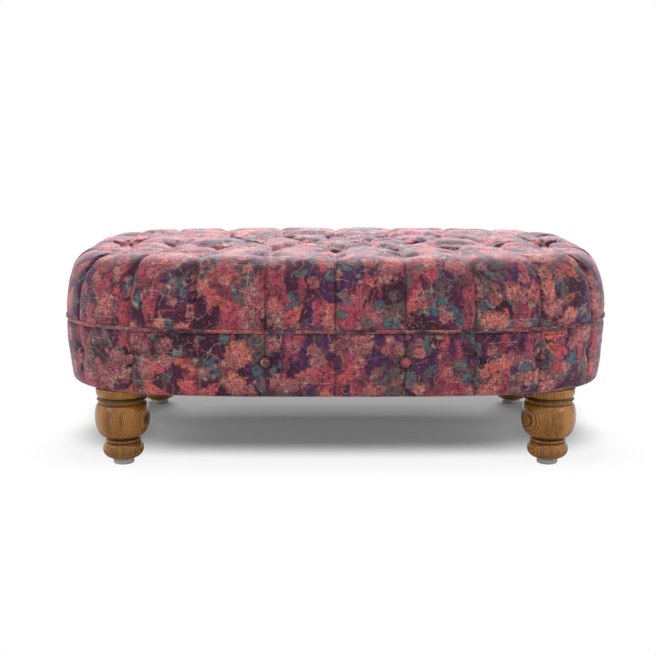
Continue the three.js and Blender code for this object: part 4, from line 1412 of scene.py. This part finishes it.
def floor_material():
    """White floor with painted shadow under the rear of the tuffet and beside the feet, a white glow for
    the camera that is painted light over the real shadow near the tuffet, and clear from below.
    """
    material, nodes, shader = new_material("white_floor", (0.9, 0.9, 0.9))
    place = nodes.put("TexCoord")["Object"]
    oval = place.slide(0.0, -SHADOW_MIDDLE).stretch((*SHADOW_SCALES, 0.0))
    away = oval.stretch(oval).length()
    seen = nodes.put("LightPath")["Is Camera Ray"]
    # White backdrop glow for the camera, slight near the tuffet and whole away from it, where it is painted
    # light over the real shadow
    share = (away.ramp(0.5, 1.0, 0.11, 0.88) + away.ramp(1.0, 1.6, 0.0, 0.12)) * seen
    spot = place.parts()
    # Painted shadow: the floor's colour darkens under the rear of the tuffet and beside the feet
    behind = spot[1].ramp(-0.02, 0.22) * away.ramp(1.0, 0.5)
    aside = abs(spot[0])
    beside = aside.ramp(0.36, 0.46) * aside.ramp(0.6, 0.47)
    beside = beside * (spot[1].ramp(-0.28, -0.19) * spot[1].ramp(0.25, -0.05))
    nodes.fill(shader, {
        "Base Color": nodes.blend(behind.math("MAXIMUM", beside), grey(0.86), grey(0.2)),
        "Roughness": 0.95,
        "Specular IOR Level": 0.0,
    })
    white = nodes.put("Emission", {"Color": grey(1), "Strength": 1.0})[0]
    lit = Outputs(nodes, material.node_tree.nodes["Principled BSDF"])[0]
    below = nodes.put("NewGeometry")["Backfacing"]
    above = nodes.mix_shaders(share, lit, white)
    surface = nodes.mix_shaders(below, above, nodes.put("BsdfTransparent")[0])
    nodes.fill(material.node_tree.nodes["Material Output"].inputs, {"Surface": surface})
    return material


def even_world(strength):
    """Even light from a world that the camera and mirrors see as white."""
    world = bpy.data.worlds.new("studio")
    world.use_nodes = True
    nodes = Nodes(world.node_tree)
    even = nodes.put("Background", {"Color": grey(1), "Strength": strength})[0]
    bright = nodes.put("Background", {"Color": grey(1), "Strength": 1.0})[0]
    path = nodes.put("LightPath")
    mirrored = path["Is Glossy Ray"].math("MAXIMUM", path["Is Transmission Ray"])
    surface = nodes.mix_shaders(path["Is Camera Ray"].math("MAXIMUM", mirrored), even, bright)
    nodes.fill(world.node_tree.nodes["World Output"].inputs, {"Surface": surface})
    return world


def place_object(scene, name, data, location, turn):
    holder = bpy.data.objects.new(name, data)
    holder.location = location
    holder.rotation_euler = turn
    scene.collection.objects.link(holder)
    return holder


class MakeStage(bpy.types.Operator):
    """Make the floor, the soft studio lamps and the camera"""

    bl_idname = "tuffet.make_stage"
    bl_label = "Stage"

    def execute(self, context):
        scene = context.scene
        stage = scene.tuffet_stage
        mesh = bpy.data.meshes.new("floor")
        corners = [(x * FLOOR_REACH, y * FLOOR_REACH, 0) for x, y in ((-1, -1), (1, -1), (1, 1), (-1, 1))]
        mesh.from_pydata(corners, [], [(0, 1, 2, 3)])
        mesh.materials.append(floor_material())
        place_object(scene, "floor", mesh, (0, 0, 0), (0, 0, 0))
        scene.world = even_world(stage.world_strength)
        for name, place, size, power in LAMPS:
            lamp = bpy.data.lights.new(name, "AREA")
            lamp.shape = "RECTANGLE"
            lamp.size, lamp.size_y = size
            lamp.energy = getattr(stage, power)
            aim = (AIM - Vector(place)).to_track_quat("-Z", "Y")
            place_object(scene, name, lamp, place, aim.to_euler())
        camera = bpy.data.cameras.new("camera")
        camera.lens = stage.focal
        camera.sensor_width = 36.0
        camera.shift_x = -7.5 / 656
        camera.clip_end = 60
        place = (0, -stage.camera_back, stage.camera_height)
        turn = (math.pi / 2 - stage.camera_pitch, 0, 0)
        scene.camera = place_object(scene, "camera", camera, place, turn)
        scene.view_settings.view_transform = "Standard"
        return {"FINISHED"}


class TuffetPanel(bpy.types.Panel):
    """Lists the tuffet's pieces and their settings"""

    bl_idname = "TUFFET_PT_pieces"
    bl_label = "Tuffet"
    bl_space_type = "VIEW_3D"
    bl_region_type = "UI"
    bl_category = "Tuffet"

    def draw(self, context):
        layout = self.layout
        for operator in OPERATORS:
            layout.operator(operator.bl_idname)
        for group_name in SETTINGS:
            settings = getattr(context.scene, group_name)
            box = layout.box()
            for name in settings.__annotations__:
                box.prop(settings, name)


OPERATORS = (
    MakeStage, MakeTop, MakeTopButtons, MakePiping, MakeBorder, MakeFeet, MakeDustCover, DressInside,
)
SETTINGS = {"tuffet_sizes": TuffetSizes, "tuffet_colours": TuffetColours, "tuffet_stage": TuffetStage}
CLASSES = (*SETTINGS.values(), *OPERATORS, TuffetPanel)


def register():
    for kind in CLASSES:
        bpy.utils.register_class(kind)
    for name, settings in SETTINGS.items():
        setattr(bpy.types.Scene, name, PointerProperty(type=settings))


def unregister():
    for name in SETTINGS:
        delattr(bpy.types.Scene, name)
    for kind in reversed(CLASSES):
        bpy.utils.unregister_class(kind)


def main():
    register()
    bpy.ops.tuffet.make_stage()
    bpy.ops.tuffet.make_top()
    bpy.ops.tuffet.make_top_buttons()
    bpy.ops.tuffet.make_piping()
    bpy.ops.tuffet.make_border()
    bpy.ops.tuffet.make_feet()
    bpy.ops.tuffet.make_dust_cover()
    bpy.ops.tuffet.dress_inside()


if __name__ == "__main__":
    main()
